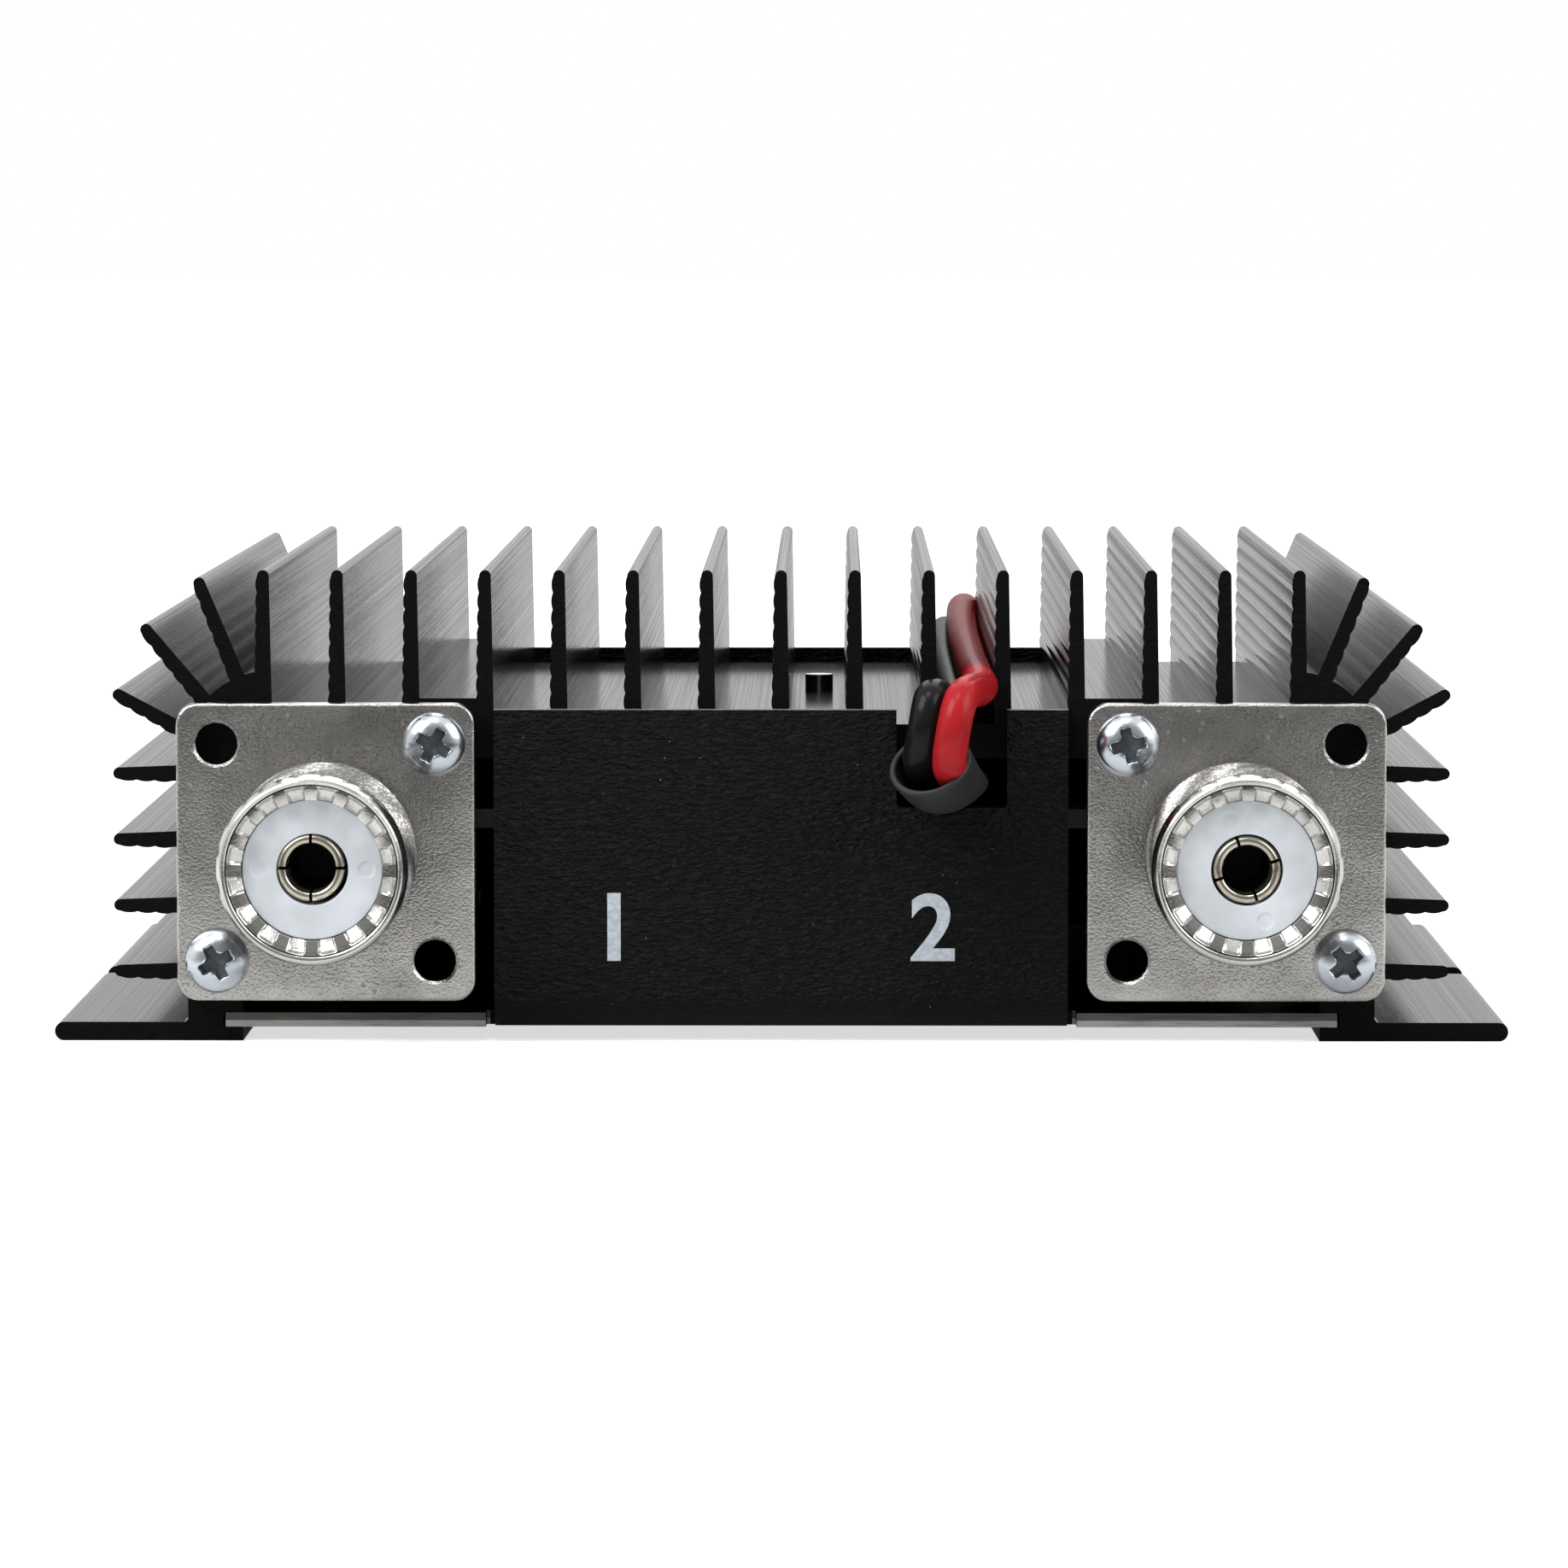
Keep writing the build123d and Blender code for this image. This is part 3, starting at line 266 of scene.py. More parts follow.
@dataclass(frozen=True)
class BlackAnodised(Finish):
    """Extruded aluminium, dyed black: drawn lines along Y on its faces, matte saw-cut ends."""

    face_gloss: float = 0.3
    line_pitch_mm: float = 0.12
    line_depth_mm: float = 0.008
    worn: Colour = (0.11, 0.11, 0.112)
    worn_share: float = 0.35
    dull_least: float = 0.26
    dull_more: float = 0.18
    end_colour: Colour = (0.0032, 0.0032, 0.0036)
    end_roughness: float = 0.62
    end_gloss: float = 0.06
    saw_depth_mm: float = 0.008

    def shade(self, graph: Graph) -> None:
        """Lays drawn lines on the faces that run along Y and fine saw marks on the ends.

        A face is partly as dull as an end, more so along some of its lines.
        """
        across = 1.0 / (self.line_pitch_mm * MM)
        drawn = graph.noise((across, 5.0, across), 4.0, 0.65)
        patch = graph.noise((70.0, 22.0, 70.0), 3.0)
        scuff = graph.noise((2600.0, 60.0, 2600.0), 2.0, 0.7)
        _, along, _ = graph.facing()
        end = abs(along).step(0.8, 0.95)
        base = self.tone(graph, patch.step(0.3, 0.7), 0.75, 1.3)
        worn = (scuff.step(0.72, 0.8) * patch.step(0.45, 0.65)) * self.worn_share
        base = graph.blend(worn, base, self.worn)
        rough = self.roughness + 0.14 * (drawn - 0.5) + 0.06 * (patch - 0.5)
        faces = {"Base Color": base, "Roughness": rough, "Specular IOR Level": self.face_gloss}
        faces["Normal"] = graph.bump(drawn, self.line_depth_mm)
        saw = graph.noise((900.0, 900.0, 5200.0), 2.0)
        tone = graph.blend(saw.step(0.4, 0.75), self.end_colour, tinted(self.end_colour, 1.9))
        ends = {"Base Color": tone, "Roughness": self.end_roughness, "Specular IOR Level": self.end_gloss}
        ends["Normal"] = graph.bump(saw, self.saw_depth_mm)
        dull = self.dull_least + self.dull_more * drawn.step(0.38, 0.62)
        graph.surface(faces, dull + end * (1.0 - dull), ends)


@dataclass(frozen=True)
class WrinklePaint(Finish):
    """Black wrinkle paint on sheet steel, bare at the rear panel's top edge and sheared lower edges."""

    gloss: float = 0.11
    wrinkle_mm: float = 0.42
    wrinkle_depth_mm: float = 0.55
    speck: Colour = (0.3, 0.3, 0.31)
    speck_spacing_mm: float = 2.1
    bare: Colour = (0.34, 0.34, 0.32)
    bare_from_mm: float = 24.9
    bare_top_mm: float = 2.6
    burr_top_mm: float = 1.8
    bend_top_mm: float = 4.2
    rim_from_mm: float = 27.9

    def shade(self, graph: Graph) -> None:
        """Lays leathery wrinkles: swells of twisted noise, wider than they are high, and few specks.

        The wrinkles flatten towards the bend at the panel's foot. The swells are painted lighter and the
        hollows between them darker: painted highlight and painted shade.
        """
        rate = 1.0 / (self.wrinkle_mm * MM)
        wave = graph.noise((0.5 * rate, 0.8 * rate, 1.35 * rate), 2.0, 0.5, 0.6)
        fine = graph.noise((2.2 * rate, 2.2 * rate, 2.8 * rate), 2.0, 0.6)
        swell = wave.step(0.32, 0.7)
        speck = graph.cells(1.0 / (self.speck_spacing_mm * MM)).step(0.032, 0.02)
        side, deep, up = graph.split(graph.place())
        _, along, top = graph.facing()
        rim = top.step(0.6, 0.8) * (up > self.rim_from_mm * MM) * (deep < 0.0)
        low = up < self.bare_top_mm * MM
        edge = abs(along).step(0.85, 0.95) * (abs(side) > self.bare_from_mm * MM) * low
        shear = graph.noise((300.0, 300.0, 5000.0), 3.0)
        burr = up.step(self.burr_top_mm * MM, 0.95 * self.burr_top_mm * MM)
        steel = graph.blend(burr, tinted(self.bare, 0.3), tinted(self.bare, 1.3))
        steel = graph.blend(shear.step(0.45, 0.75) * 0.5, steel, tinted(self.bare, 0.5))
        flat = up.step(0.7 * self.bend_top_mm * MM, 1.8 * self.bend_top_mm * MM) * 0.8 + 0.2
        # Lighter on the swells, darker between them: painted highlight and painted shade
        paint = self.tone(graph, swell * flat, 0.55, 1.8)
        paint = graph.blend(speck * 0.8, paint, self.speck)
        height = (swell * 0.8 + fine * 0.2) * flat
        base = graph.blend(rim * 0.9, graph.blend(edge, paint, steel), self.bare)
        rough = self.roughness + 0.1 * (fine - 0.5) - edge * 0.12 - (1.0 - flat) * 0.12
        normal = graph.bump(height * (1.0 - edge) + shear * edge * 0.2, self.wrinkle_depth_mm)
        sockets = {"Base Color": base, "Roughness": rough, "Metallic": edge * 0.2, "Normal": normal}
        graph.surface(sockets | {"Specular IOR Level": self.gloss})


@dataclass(frozen=True)
class CastPlate(Finish):
    """Plated casting: bright metal with a fine pitted skin and, if any, a dull darker mix between the
    grains, partly tarnish and partly painted shade.
    """

    grain_mm: float = 0.24
    grain_depth_mm: float = 0.05
    speck_share: float = 0.5
    tarnish: float = 0.0
    tarnish_roughness: float = 0.5
    tarnish_gloss: float = 0.06

    def shade(self, graph: Graph) -> None:
        """Lays a grain, dark specks in patches, darkened pits and a cloudy tone; the specks and the pits
        are painted shade in the pits.
        """
        rate = 1.0 / (self.grain_mm * MM)
        grain = graph.noise((0.95 * rate, rate, 1.1 * rate), 3.0, 0.6)
        patch = graph.noise(110.0, 2.0).step(0.35, 0.62)
        # Dark specks: painted shade in small pits, denser in patches
        pit_shade_specks = grain.step(0.51, 0.63) * (patch * 0.6 + 0.4) * self.speck_share
        cloud = graph.noise(240.0, 3.0)
        pits = graph.cells(0.22 * rate).step(0.26, 0.1) * graph.noise(900.0, 1.0).step(0.5, 0.62)
        base = self.tone(graph, cloud.step(0.3, 0.72), 0.82, 1.08)
        # Specks and pits are darkened: painted shade in the pits
        base = graph.blend(pit_shade_specks, base, tinted(self.colour, 0.18))
        base = graph.blend(pits * 0.3, base, tinted(self.colour, 0.25))
        rough = self.roughness + 0.16 * (grain - 0.5) + 0.1 * (cloud - 0.5) + pits * 0.2
        metal = {"Base Color": base, "Roughness": rough, "Metallic": 1.0}
        metal["Normal"] = graph.bump(0.0 - grain - pits * 0.6, self.grain_depth_mm)
        if self.tarnish == 0.0:
            graph.surface(metal)
            return
        # A dull darker mix between the grains: partly tarnish, partly painted shade on the barrel
        dull = {"Base Color": self.tone(graph, pit_shade_specks, 0.2, 0.08), "Roughness": self.tarnish_roughness}
        dull["Specular IOR Level"] = self.tarnish_gloss
        graph.surface(metal, grain.step(0.36, 0.58) * self.tarnish, dull)


@dataclass(frozen=True)
class Laminate(Finish):
    """Lacquered board, brown where its cut edges show."""

    edge: Colour = (0.035, 0.03, 0.028)
    edge_roughness: float = 0.7

    def shade(self, graph: Graph) -> None:
        """Lays a faint weave on the faces and a dull cut edge."""
        _, _, up = graph.facing()
        face = abs(up).step(0.6, 0.9)
        weave = graph.noise(1500.0, 2.0)
        base = graph.blend(face, self.edge, self.tone(graph, weave, 0.85, 1.15))
        rough = self.edge_roughness - face * (self.edge_roughness - self.roughness)
        graph.surface({"Base Color": base, "Roughness": rough})


@dataclass(frozen=True)
class Insulation(Finish):
    """Soft lead covering, partly glossy and partly matte, with faint scuffs."""

    gloss: float = 0.4
    matte_share: float = 0.6
    matte_roughness: float = 0.8
    skin_depth_mm: float = 0.03

    def shade(self, graph: Graph) -> None:
        """Lays cloudy colour, dull scuffs and a slightly uneven skin."""
        cloud = graph.noise(170.0, 3.0)
        scuff = graph.noise(900.0, 3.0, 0.7)
        base = self.tone(graph, cloud.step(0.3, 0.7), 0.82, 1.15)
        rough = self.roughness + 0.12 * scuff.step(0.55, 0.75) + 0.06 * (cloud - 0.5)
        skin = {"Base Color": base, "Normal": graph.bump(cloud + scuff * 0.04, self.skin_depth_mm)}
        gloss = skin | {"Roughness": rough, "Specular IOR Level": self.gloss}
        matte = skin | {"Roughness": self.matte_roughness, "Specular IOR Level": 0.0}
        graph.surface(gloss, self.matte_share, matte)


@dataclass(frozen=True)
class PrintedMark(Finish):
    """Pale ink on wrinkle paint, broken by the hollows under it."""

    depth_mm: float = 0.05

    def shade(self, graph: Graph) -> None:
        """Lays a mottled ink that thins in small specks."""
        mottle = graph.noise((1900.0, 1900.0, 2600.0), 2.0, 0.6)
        base = self.tone(graph, mottle.step(0.35, 0.7), 0.78, 1.0)
        normal = graph.bump(mottle, self.depth_mm)
        graph.surface({"Base Color": base, "Roughness": self.roughness, "Normal": normal})


@dataclass(frozen=True)
class Lens(Finish):
    """Tinted clear plastic of a lamp."""

    clear: float = 0.25
    coat: float = 0.6

    def shade(self, graph: Graph) -> None:
        """Lays a glossy tint that is deeper at the rim than at the middle."""
        rim = graph.value("ShaderNodeLayerWeight", {}, {"Blend": 0.35}, "Facing")
        cloud = graph.noise(700.0, 2.0)
        base = self.tone(graph, rim * 0.7 + cloud * 0.15, 1.3, 0.4)
        sockets = {"Base Color": base, "Roughness": self.roughness + 0.05 * cloud}
        graph.surface(sockets | {"Transmission Weight": self.clear, "Coat Weight": self.coat})


@dataclass(frozen=True)
class Winding(Finish):
    """Enamelled or bare metal with a brushed, slightly uneven tone."""

    rub_depth_mm: float = 0.01

    def shade(self, graph: Graph) -> None:
        """Lays a metal tone with fine rubbed lines."""
        rub = graph.noise((3000.0, 500.0, 3000.0), 3.0)
        base = self.tone(graph, rub, 0.75, 1.15)
        sockets = {"Base Color": base, "Roughness": self.roughness + 0.15 * (rub - 0.5)}
        graph.surface(sockets | {"Metallic": 1.0, "Normal": graph.bump(rub, self.rub_depth_mm)})


class Finishes(Enum):
    """The finishes of this object. Those of CAD nodes have the names of their slots in the record."""

    ANODISED = BlackAnodised("black_anodised", (0.017, 0.017, 0.0172), 0.12)
    PAINT = WrinklePaint("wrinkle_paint", (0.0034, 0.0036, 0.0041), 0.42)
    NICKEL = CastPlate("socket_nickel", (0.57, 0.56, 0.535), 0.2)
    # Lighter and darker copies of the same plating: a painted highlight on the rim, teeth and bore, and
    # painted shade on the barrel
    PLATED = CastPlate("socket_bright", (0.72, 0.71, 0.68), 0.15, grain_depth_mm=0.016, speck_share=0.2)
    THREAD = CastPlate("socket_thread", (0.44, 0.43, 0.415), 0.24, 0.26, 0.014, 0.25, tarnish=0.6)
    CONTACT = CastPlate("contact_plating", (0.58, 0.54, 0.45), 0.2, 0.3, 0.006, speck_share=0.0)
    INSULATOR = Finish("insulator_white", (0.66, 0.7, 0.74), 0.42)
    ZINC = CastPlate("zinc_steel", (0.66, 0.71, 0.77), 0.22, 0.4, 0.006, speck_share=0.0)
    RECESS = Finish("recess_shade", (0.1, 0.12, 0.13), 0.5)
    BORE = Finish("bore_shade", (0.03, 0.027, 0.021), 0.5)
    BOARD = Laminate("board_laminate", (0.03, 0.13, 0.06), 0.35)
    BRASS = Winding("spacer_brass", (0.72, 0.55, 0.25), 0.3)
    MOULDED = Finish("moulded_case", (0.012, 0.012, 0.013), 0.5)
    ROCKER = Finish("rocker_plastic", (0.011, 0.011, 0.012), 0.28)
    PAD = Finish("pad_grey", (0.4, 0.4, 0.41), 0.75)
    RELAY = Finish("relay_case", (0.035, 0.07, 0.2), 0.35)
    CAN = Finish("can_sleeve", (0.02, 0.025, 0.06), 0.3)
    COPPER = Winding("copper_wire", (0.62, 0.26, 0.12), 0.32)
    CERAMIC = Finish("ceramic_coat", (0.5, 0.25, 0.07), 0.55)
    RESISTOR = Finish("resistor_coat", (0.55, 0.43, 0.24), 0.4)
    CHROME = Winding("holder_chrome", (0.78, 0.79, 0.8), 0.12)
    RED_LENS = Lens("red_lens", (0.55, 0.012, 0.008), 0.12)
    GREEN_LENS = Lens("green_lens", (0.02, 0.34, 0.045), 0.12)
    RUBBER = Finish("sleeve_rubber", (0.012, 0.012, 0.0125), 0.6)
    LEAD_BLACK = Insulation("lead_black", (0.009, 0.009, 0.0095), 0.22)
    LEAD_RED = Insulation("lead_red", (0.39, 0.014, 0.018), 0.24)
    TIE = Finish("tie_nylon", (0.6, 0.6, 0.57), 0.45)
    TINNED = Winding("tinned_copper", (0.7, 0.69, 0.67), 0.3)
    FERRITE = Finish("ferrite", (0.03, 0.03, 0.032), 0.6)
    INK = PrintedMark("ink_pale", (0.57, 0.63, 0.69), 0.6)

    def material(self) -> bpy.types.Material:
        """The Blender material of this finish."""
        return self.value.material()


# Surfaces


@dataclass
class Surface:
    """Points in millimetres, the four-sided faces between them and each face's finish number."""

    points: np.ndarray
    quads: np.ndarray
    paint: np.ndarray

    @classmethod
    def grid(
        cls, points: np.ndarray, wrap_rows: bool = False, wrap_columns: bool = False, paint: int = 0
    ) -> "Surface":
        """A surface over a grid: each point joins the next in its row and its column.

        Args:
            points: Array of rows by columns by three.
            wrap_rows: Whether the last row joins the first.
            wrap_columns: Whether the last column joins the first.
            paint: Number of the finish in the piece's own list.

        Returns:
            The surface.
        """
        rows, columns = points.shape[:2]
        number = np.arange(rows * columns).reshape(rows, columns)
        if wrap_rows:
            number = np.vstack([number, number[:1]])
        if wrap_columns:
            number = np.hstack([number, number[:, :1]])
        corners = (number[:-1, :-1], number[:-1, 1:], number[1:, 1:], number[1:, :-1])
        quads = np.stack(corners, axis=-1).reshape(-1, 4)
        return cls(points.reshape(-1, 3), quads, np.full(len(quads), paint))

    @classmethod
    def lathe(cls, radii: np.ndarray, heights: np.ndarray, columns: int, paint: int = 0) -> "Surface":
        """A turned form, closed round its axis: the point at angle t is (r cos t, r sin t, h).

        Args:
            radii: Radius of each profile point, or of each profile point at each angle.
            heights: Height of each profile point, likewise.
            columns: Number of steps round the axis.
            paint: Number of the finish.

        Returns:
            The surface.
        """
        angle = angles(columns)
        radius, height = (np.asarray(part, float) for part in (radii, heights))
        radius = radius[:, None] if radius.ndim == 1 else radius
        height = height[:, None] if height.ndim == 1 else height
        parts = (radius * np.cos(angle), radius * np.sin(angle), height + 0.0 * radius * angle)
        return cls.grid(np.stack(np.broadcast_arrays(*parts), axis=-1), False, True, paint)

    @classmethod
    def tube(
        cls, path: np.ndarray, side: Sequence, radius: Union[float, np.ndarray], columns: int,
        paint: int = 0
    ) -> "Surface":
        """A closed tube along a path: rings of radius r square to the path, shut at both ends.

        Args:
            path: Points of the middle line.
            side: Direction that a ring's first point lies towards, at each point or one for all.
            radius: Radius at each point and angle, or one for all.
            columns: Points of a ring.
            paint: Number of the finish.

        Returns:
            The tube.
        """
        first, second = cross_frame(path, side)
        angle = angles(columns)
        reach = np.broadcast_to(np.asarray(radius, float), (len(path), columns))[:, :, None]
        ring = first[:, None] * np.cos(angle)[:, None] + second[:, None] * np.sin(angle)[:, None]
        rows = path[:, None] + reach * ring
        ends = [np.repeat(path[end][None, None], columns, axis=1) for end in (0, -1)]
        return cls.grid(np.concatenate([ends[0], rows, ends[1]]), False, True, paint)

    def __add__(self, other: "Surface") -> "Surface":
        """Both surfaces as one."""
        points = np.vstack([self.points, other.points])
        quads = np.vstack([self.quads, other.quads + len(self.points)])
        return Surface(points, quads, np.concatenate([self.paint, other.paint]))

    def placed(self, origin: Point, axes: Axes) -> "Surface":
        """The surface with its own X, Y and Z axes laid along three directions at a place."""
        points = self.points @ np.array(axes, float) + np.array(origin, float)
        return Surface(points, self.quads, self.paint)

    def mirrored(self, x: float, y: float) -> "Surface":
        """The surface with its X and Y multiplied by one or minus one."""
        return Surface(self.points * np.array([x, y, 1.0]), self.quads, self.paint)

    def build(
        self, name: str, finishes: Sequence[Finishes], smooth: float, replaced: Sequence[str],
        slot: Optional[Finishes] = None
    ) -> bpy.types.Object:
        """Makes the surface a piece, in metres, and keeps it.

        Args:
            name: Name of the piece.
            finishes: Finish of each paint number.
            smooth: Edges that turn by more than this many degrees stay sharp.
            replaced: CAD nodes that the piece replaces.
            slot: Finish handed on to keep, the first one if not said.

        Returns:
            The piece.
        """
        mesh = bpy.data.meshes.new(name)
        mesh.vertices.add(len(self.points))
        mesh.vertices.foreach_set("co", (self.points * MM).astype(np.float32).ravel())
        mesh.loops.add(self.quads.size)
        mesh.loops.foreach_set("vertex_index", self.quads.astype(np.int32).ravel())
        mesh.polygons.add(len(self.quads))
        mesh.polygons.foreach_set("loop_start", np.arange(0, self.quads.size, 4, dtype=np.int32))
        mesh.polygons.foreach_set("material_index", self.paint.astype(np.int32))
        mesh.update(calc_edges=True)
        return keep(finished_object(mesh, name, finishes, smooth), slot or finishes[0], replaced)


def finished_object(
    mesh: bpy.types.Mesh, name: str, finishes: Sequence[Finishes], smooth: float
) -> bpy.types.Object:
    """Merges a mesh's seams and poles, turns its faces outward and makes it an object.

    Args:
        mesh: Mesh in metres, in the part's own frame.
        name: Name of the piece.
        finishes: Finish of each material number.
        smooth: Angle in degrees past which an edge stays sharp.

    Returns:
        The object, linked to the scene.
    """
    work = bmesh.new()
    work.from_mesh(mesh)
    bmesh.ops.remove_doubles(work, verts=work.verts, dist=MERGE_REACH)
    bmesh.ops.dissolve_degenerate(work, edges=work.edges, dist=MERGE_REACH)
    bmesh.ops.recalc_face_normals(work, faces=work.faces)
    work.to_mesh(mesh)
    work.free()
    mesh.polygons.foreach_set("use_smooth", np.ones(len(mesh.polygons), bool))
    mesh.set_sharp_from_angle(angle=radians(smooth))
    for finish in finishes:
        mesh.materials.append(finish.material())
    return linked(name, mesh)


def linked(name: str, data: bpy.types.ID) -> bpy.types.Object:
    """A new object of some data, in the scene."""
    made = bpy.data.objects.new(name, data)
    bpy.context.scene.collection.objects.link(made)
    return made


def keep(piece: bpy.types.Object, slot: Finishes, replaced: Sequence[str] = ()) -> bpy.types.Object:
    """Gives a piece its body, hides the nodes that it stands for, and reports it.

    Args:
        piece: The finished object.
        slot: Not used.
        replaced: CAD nodes that the piece replaces.

    Returns:
        The piece.
    """
    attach(piece, CHASSIS)
    if replaced:
        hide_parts(*replaced)
    LOG.info("%s: %d faces", piece.name, len(piece.data.polygons))
    return piece


def dress(finish: Finishes, *nodes: str) -> None:
    """Puts a finish on CAD nodes that are shown as they are."""
    for node in nodes:
        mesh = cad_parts[node].data
        mesh.materials.clear()
        mesh.materials.append(finish.material())
        LOG.info("%s: dressed in %s", node, finish.value.name)


def mesh_of(curve: bpy.types.Curve) -> tuple[bpy.types.Mesh, np.ndarray]:
    """The mesh of a curve or a text, and its points; the curve itself is removed."""
    holder = linked(curve.name, curve)
    bpy.context.view_layer.update()
    mesh = bpy.data.meshes.new_from_object(holder)
    bpy.data.objects.remove(holder)
    bpy.data.curves.remove(curve)
    flat = np.empty(len(mesh.vertices) * 3, np.float32)
    mesh.vertices.foreach_get("co", flat)
    return mesh, flat.reshape(-1, 3).astype(float)


def angles(columns: int) -> np.ndarray:
    """Evenly spaced angles once round, from zero."""
    return np.arange(columns) * tau / columns


def gaps(line: np.ndarray) -> np.ndarray:
    """Distance from each point of a line to the next."""
    return np.linalg.norm(np.diff(line, axis=0), axis=1)


def unit(vectors: np.ndarray) -> np.ndarray:
    """Vectors scaled to a length of one."""
    return vectors / np.linalg.norm(vectors, axis=-1, keepdims=True)


def cross_frame(path: np.ndarray, side: Sequence) -> tuple[np.ndarray, np.ndarray]:
    """Two directions square to a path at each point, the first as near as can be to a wanted side.

    Args:
        path: Points of the middle line.
        side: Wanted direction at each point, or one for all.

    Returns:
        The first and the second direction at each point.
    """
    ahead = unit(np.gradient(path, axis=0))
    wanted = np.broadcast_to(np.asarray(side, float), path.shape)
    first = unit(wanted - ahead * np.sum(wanted * ahead, axis=1, keepdims=True))
    return first, np.cross(ahead, first)


def smooth_share(values: np.ndarray, low: float, high: float) -> np.ndarray:
    """Smooth step from 0 at low to 1 at high."""
    share = np.clip((values - low) / (high - low), 0.0, 1.0)
    return share * share * (3.0 - 2.0 * share)


# Studio


@dataclass
class Studio:
    """Camera, floor, backdrop and lamps. Lengths are metres unless said, powers watts."""

    camera_place: Point = (0.0045, -0.635, 0.0712)
    camera_aim: Point = (0.00025, -0.041, 0.022)
    focal_length_mm: float = 160.88
    sensor_mm: float = 36.0
    floor_reach: float = 6.0
    floor_tone: float = 0.8
    glow: float = 0.68
    mirrored_glow: float = 0.05
    ambient: float = 0.5
    front_share: float = 0.3
    front_levels: Pair = (0.25, 0.85)
    sweep_near: float = 0.06
    sweep_far: float = 0.2
    sweep_share: float = 0.04
    lamp_aim: Point = (0.0, 0.0, 0.02)
    lamps: tuple[tuple[str, Point, float, float], ...] = (
        ("key_lamp", (-0.8, -0.6, 0.9), 0.8, 12.0),
        ("fill_lamp", (0.95, -0.45, 0.7), 0.8, 6.0),
        ("back_lamp", (0.1, 1.0, 0.9), 1.2, 6.0),
        ("top_lamp", (-0.1, -0.35, 1.05), 0.35, 2.0),
    )

    def build(self) -> None:
        """Sets the camera where the photograph was taken from, then the floor, the world and the lamps.

        Each lamp is a soft square one with a name, a place, a width and a power.
        """
        data = bpy.data.cameras.new("camera")
        data.sensor_width = self.sensor_mm
        data.lens = self.focal_length_mm
        bpy.context.scene.camera = self._aimed("camera", data, self.camera_place, self.camera_aim)
        self._floor()
        self._world()
        for name, place, width, power in self.lamps:
            data = bpy.data.lights.new(name, "AREA")
            data.size = width
            data.energy = power
            self._aimed(name, data, place, self.lamp_aim)
        bpy.context.scene.view_settings.view_transform = "Standard"

    @staticmethod
    def _aimed(name: str, data: bpy.types.ID, place: Point, aim: Point) -> bpy.types.Object:
        """A camera or a lamp at a place, turned towards another."""
        made = linked(name, data)
        made.location = place
        made.rotation_euler = (Vector(aim) - Vector(place)).to_track_quat("-Z", "Y").to_euler()
        return made

    def _floor(self) -> None:
        """Lays a pale floor that keeps the shadow and is white to the camera where it is lit.

        Metal mirrors it too, and there it fades towards the dimmer room in front.
        """
        far = self.floor_reach
        square = [(-far, -far, 0), (far, -far, 0), (far, far, 0), (-far, far, 0)]
        mesh = bpy.data.meshes.new("floor")
        mesh.from_pydata(square, [], [(0, 1, 2, 3)])
        material = bpy.data.materials.new("floor")
        material.use_nodes = True
        graph = Graph(material.node_tree)
        seen, glossy = graph.rays("Is Camera Ray", "Is Glossy Ray")
        _, along, _ = graph.split(graph.place())
        fade = (0.0 - along).step(self.sweep_near, self.sweep_far)
        pale = (self.floor_tone,) * 3
        tone = graph.blend(glossy * fade, pale, tinted(pale, self.sweep_share))
        strength = seen * self.glow + glossy * (1.0 - fade) * self.mirrored_glow
        shade = graph.value("ShaderNodeBsdfDiffuse", {}, {"Color": tone})
        light = graph.value("ShaderNodeEmission", {}, {"Strength": strength})
        both = graph.value("ShaderNodeAddShader", {}, {0: shade, 1: light})
        graph.node("ShaderNodeOutputMaterial", {}, {0: both})
        mesh.materials.append(material)
        linked("floor", mesh)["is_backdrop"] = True

    def _world(self) -> None:
        """Makes the surroundings: white where they are seen, softer where they light the object.

        Metal mirrors the white too, but for the room behind the camera, which is dimmer.
        """
        world = bpy.data.worlds.new("surroundings")
        world.use_nodes = True
        bpy.context.scene.world = world
        graph = Graph(world.node_tree)
        seen, glossy, through = graph.rays("Is Camera Ray", "Is Glossy Ray", "Is Transmission Ray")
        mirrored = (glossy + through) > 0.5
        _, along, _ = graph.split(graph.place())
        front = (0.0 - along).step(*self.front_levels) * (1.0 - seen)
        strength = (seen + mirrored > 0.5) * (1.0 - self.ambient) + self.ambient
        strength = strength * (1.0 - front * (1.0 - self.front_share))
        white = (1.0, 1.0, 1.0, 1.0)
        back = graph.value("ShaderNodeBackground", {}, {"Color": white, "Strength": strength})
        graph.node("ShaderNodeOutputWorld", {}, {0: back})


# Supply lead


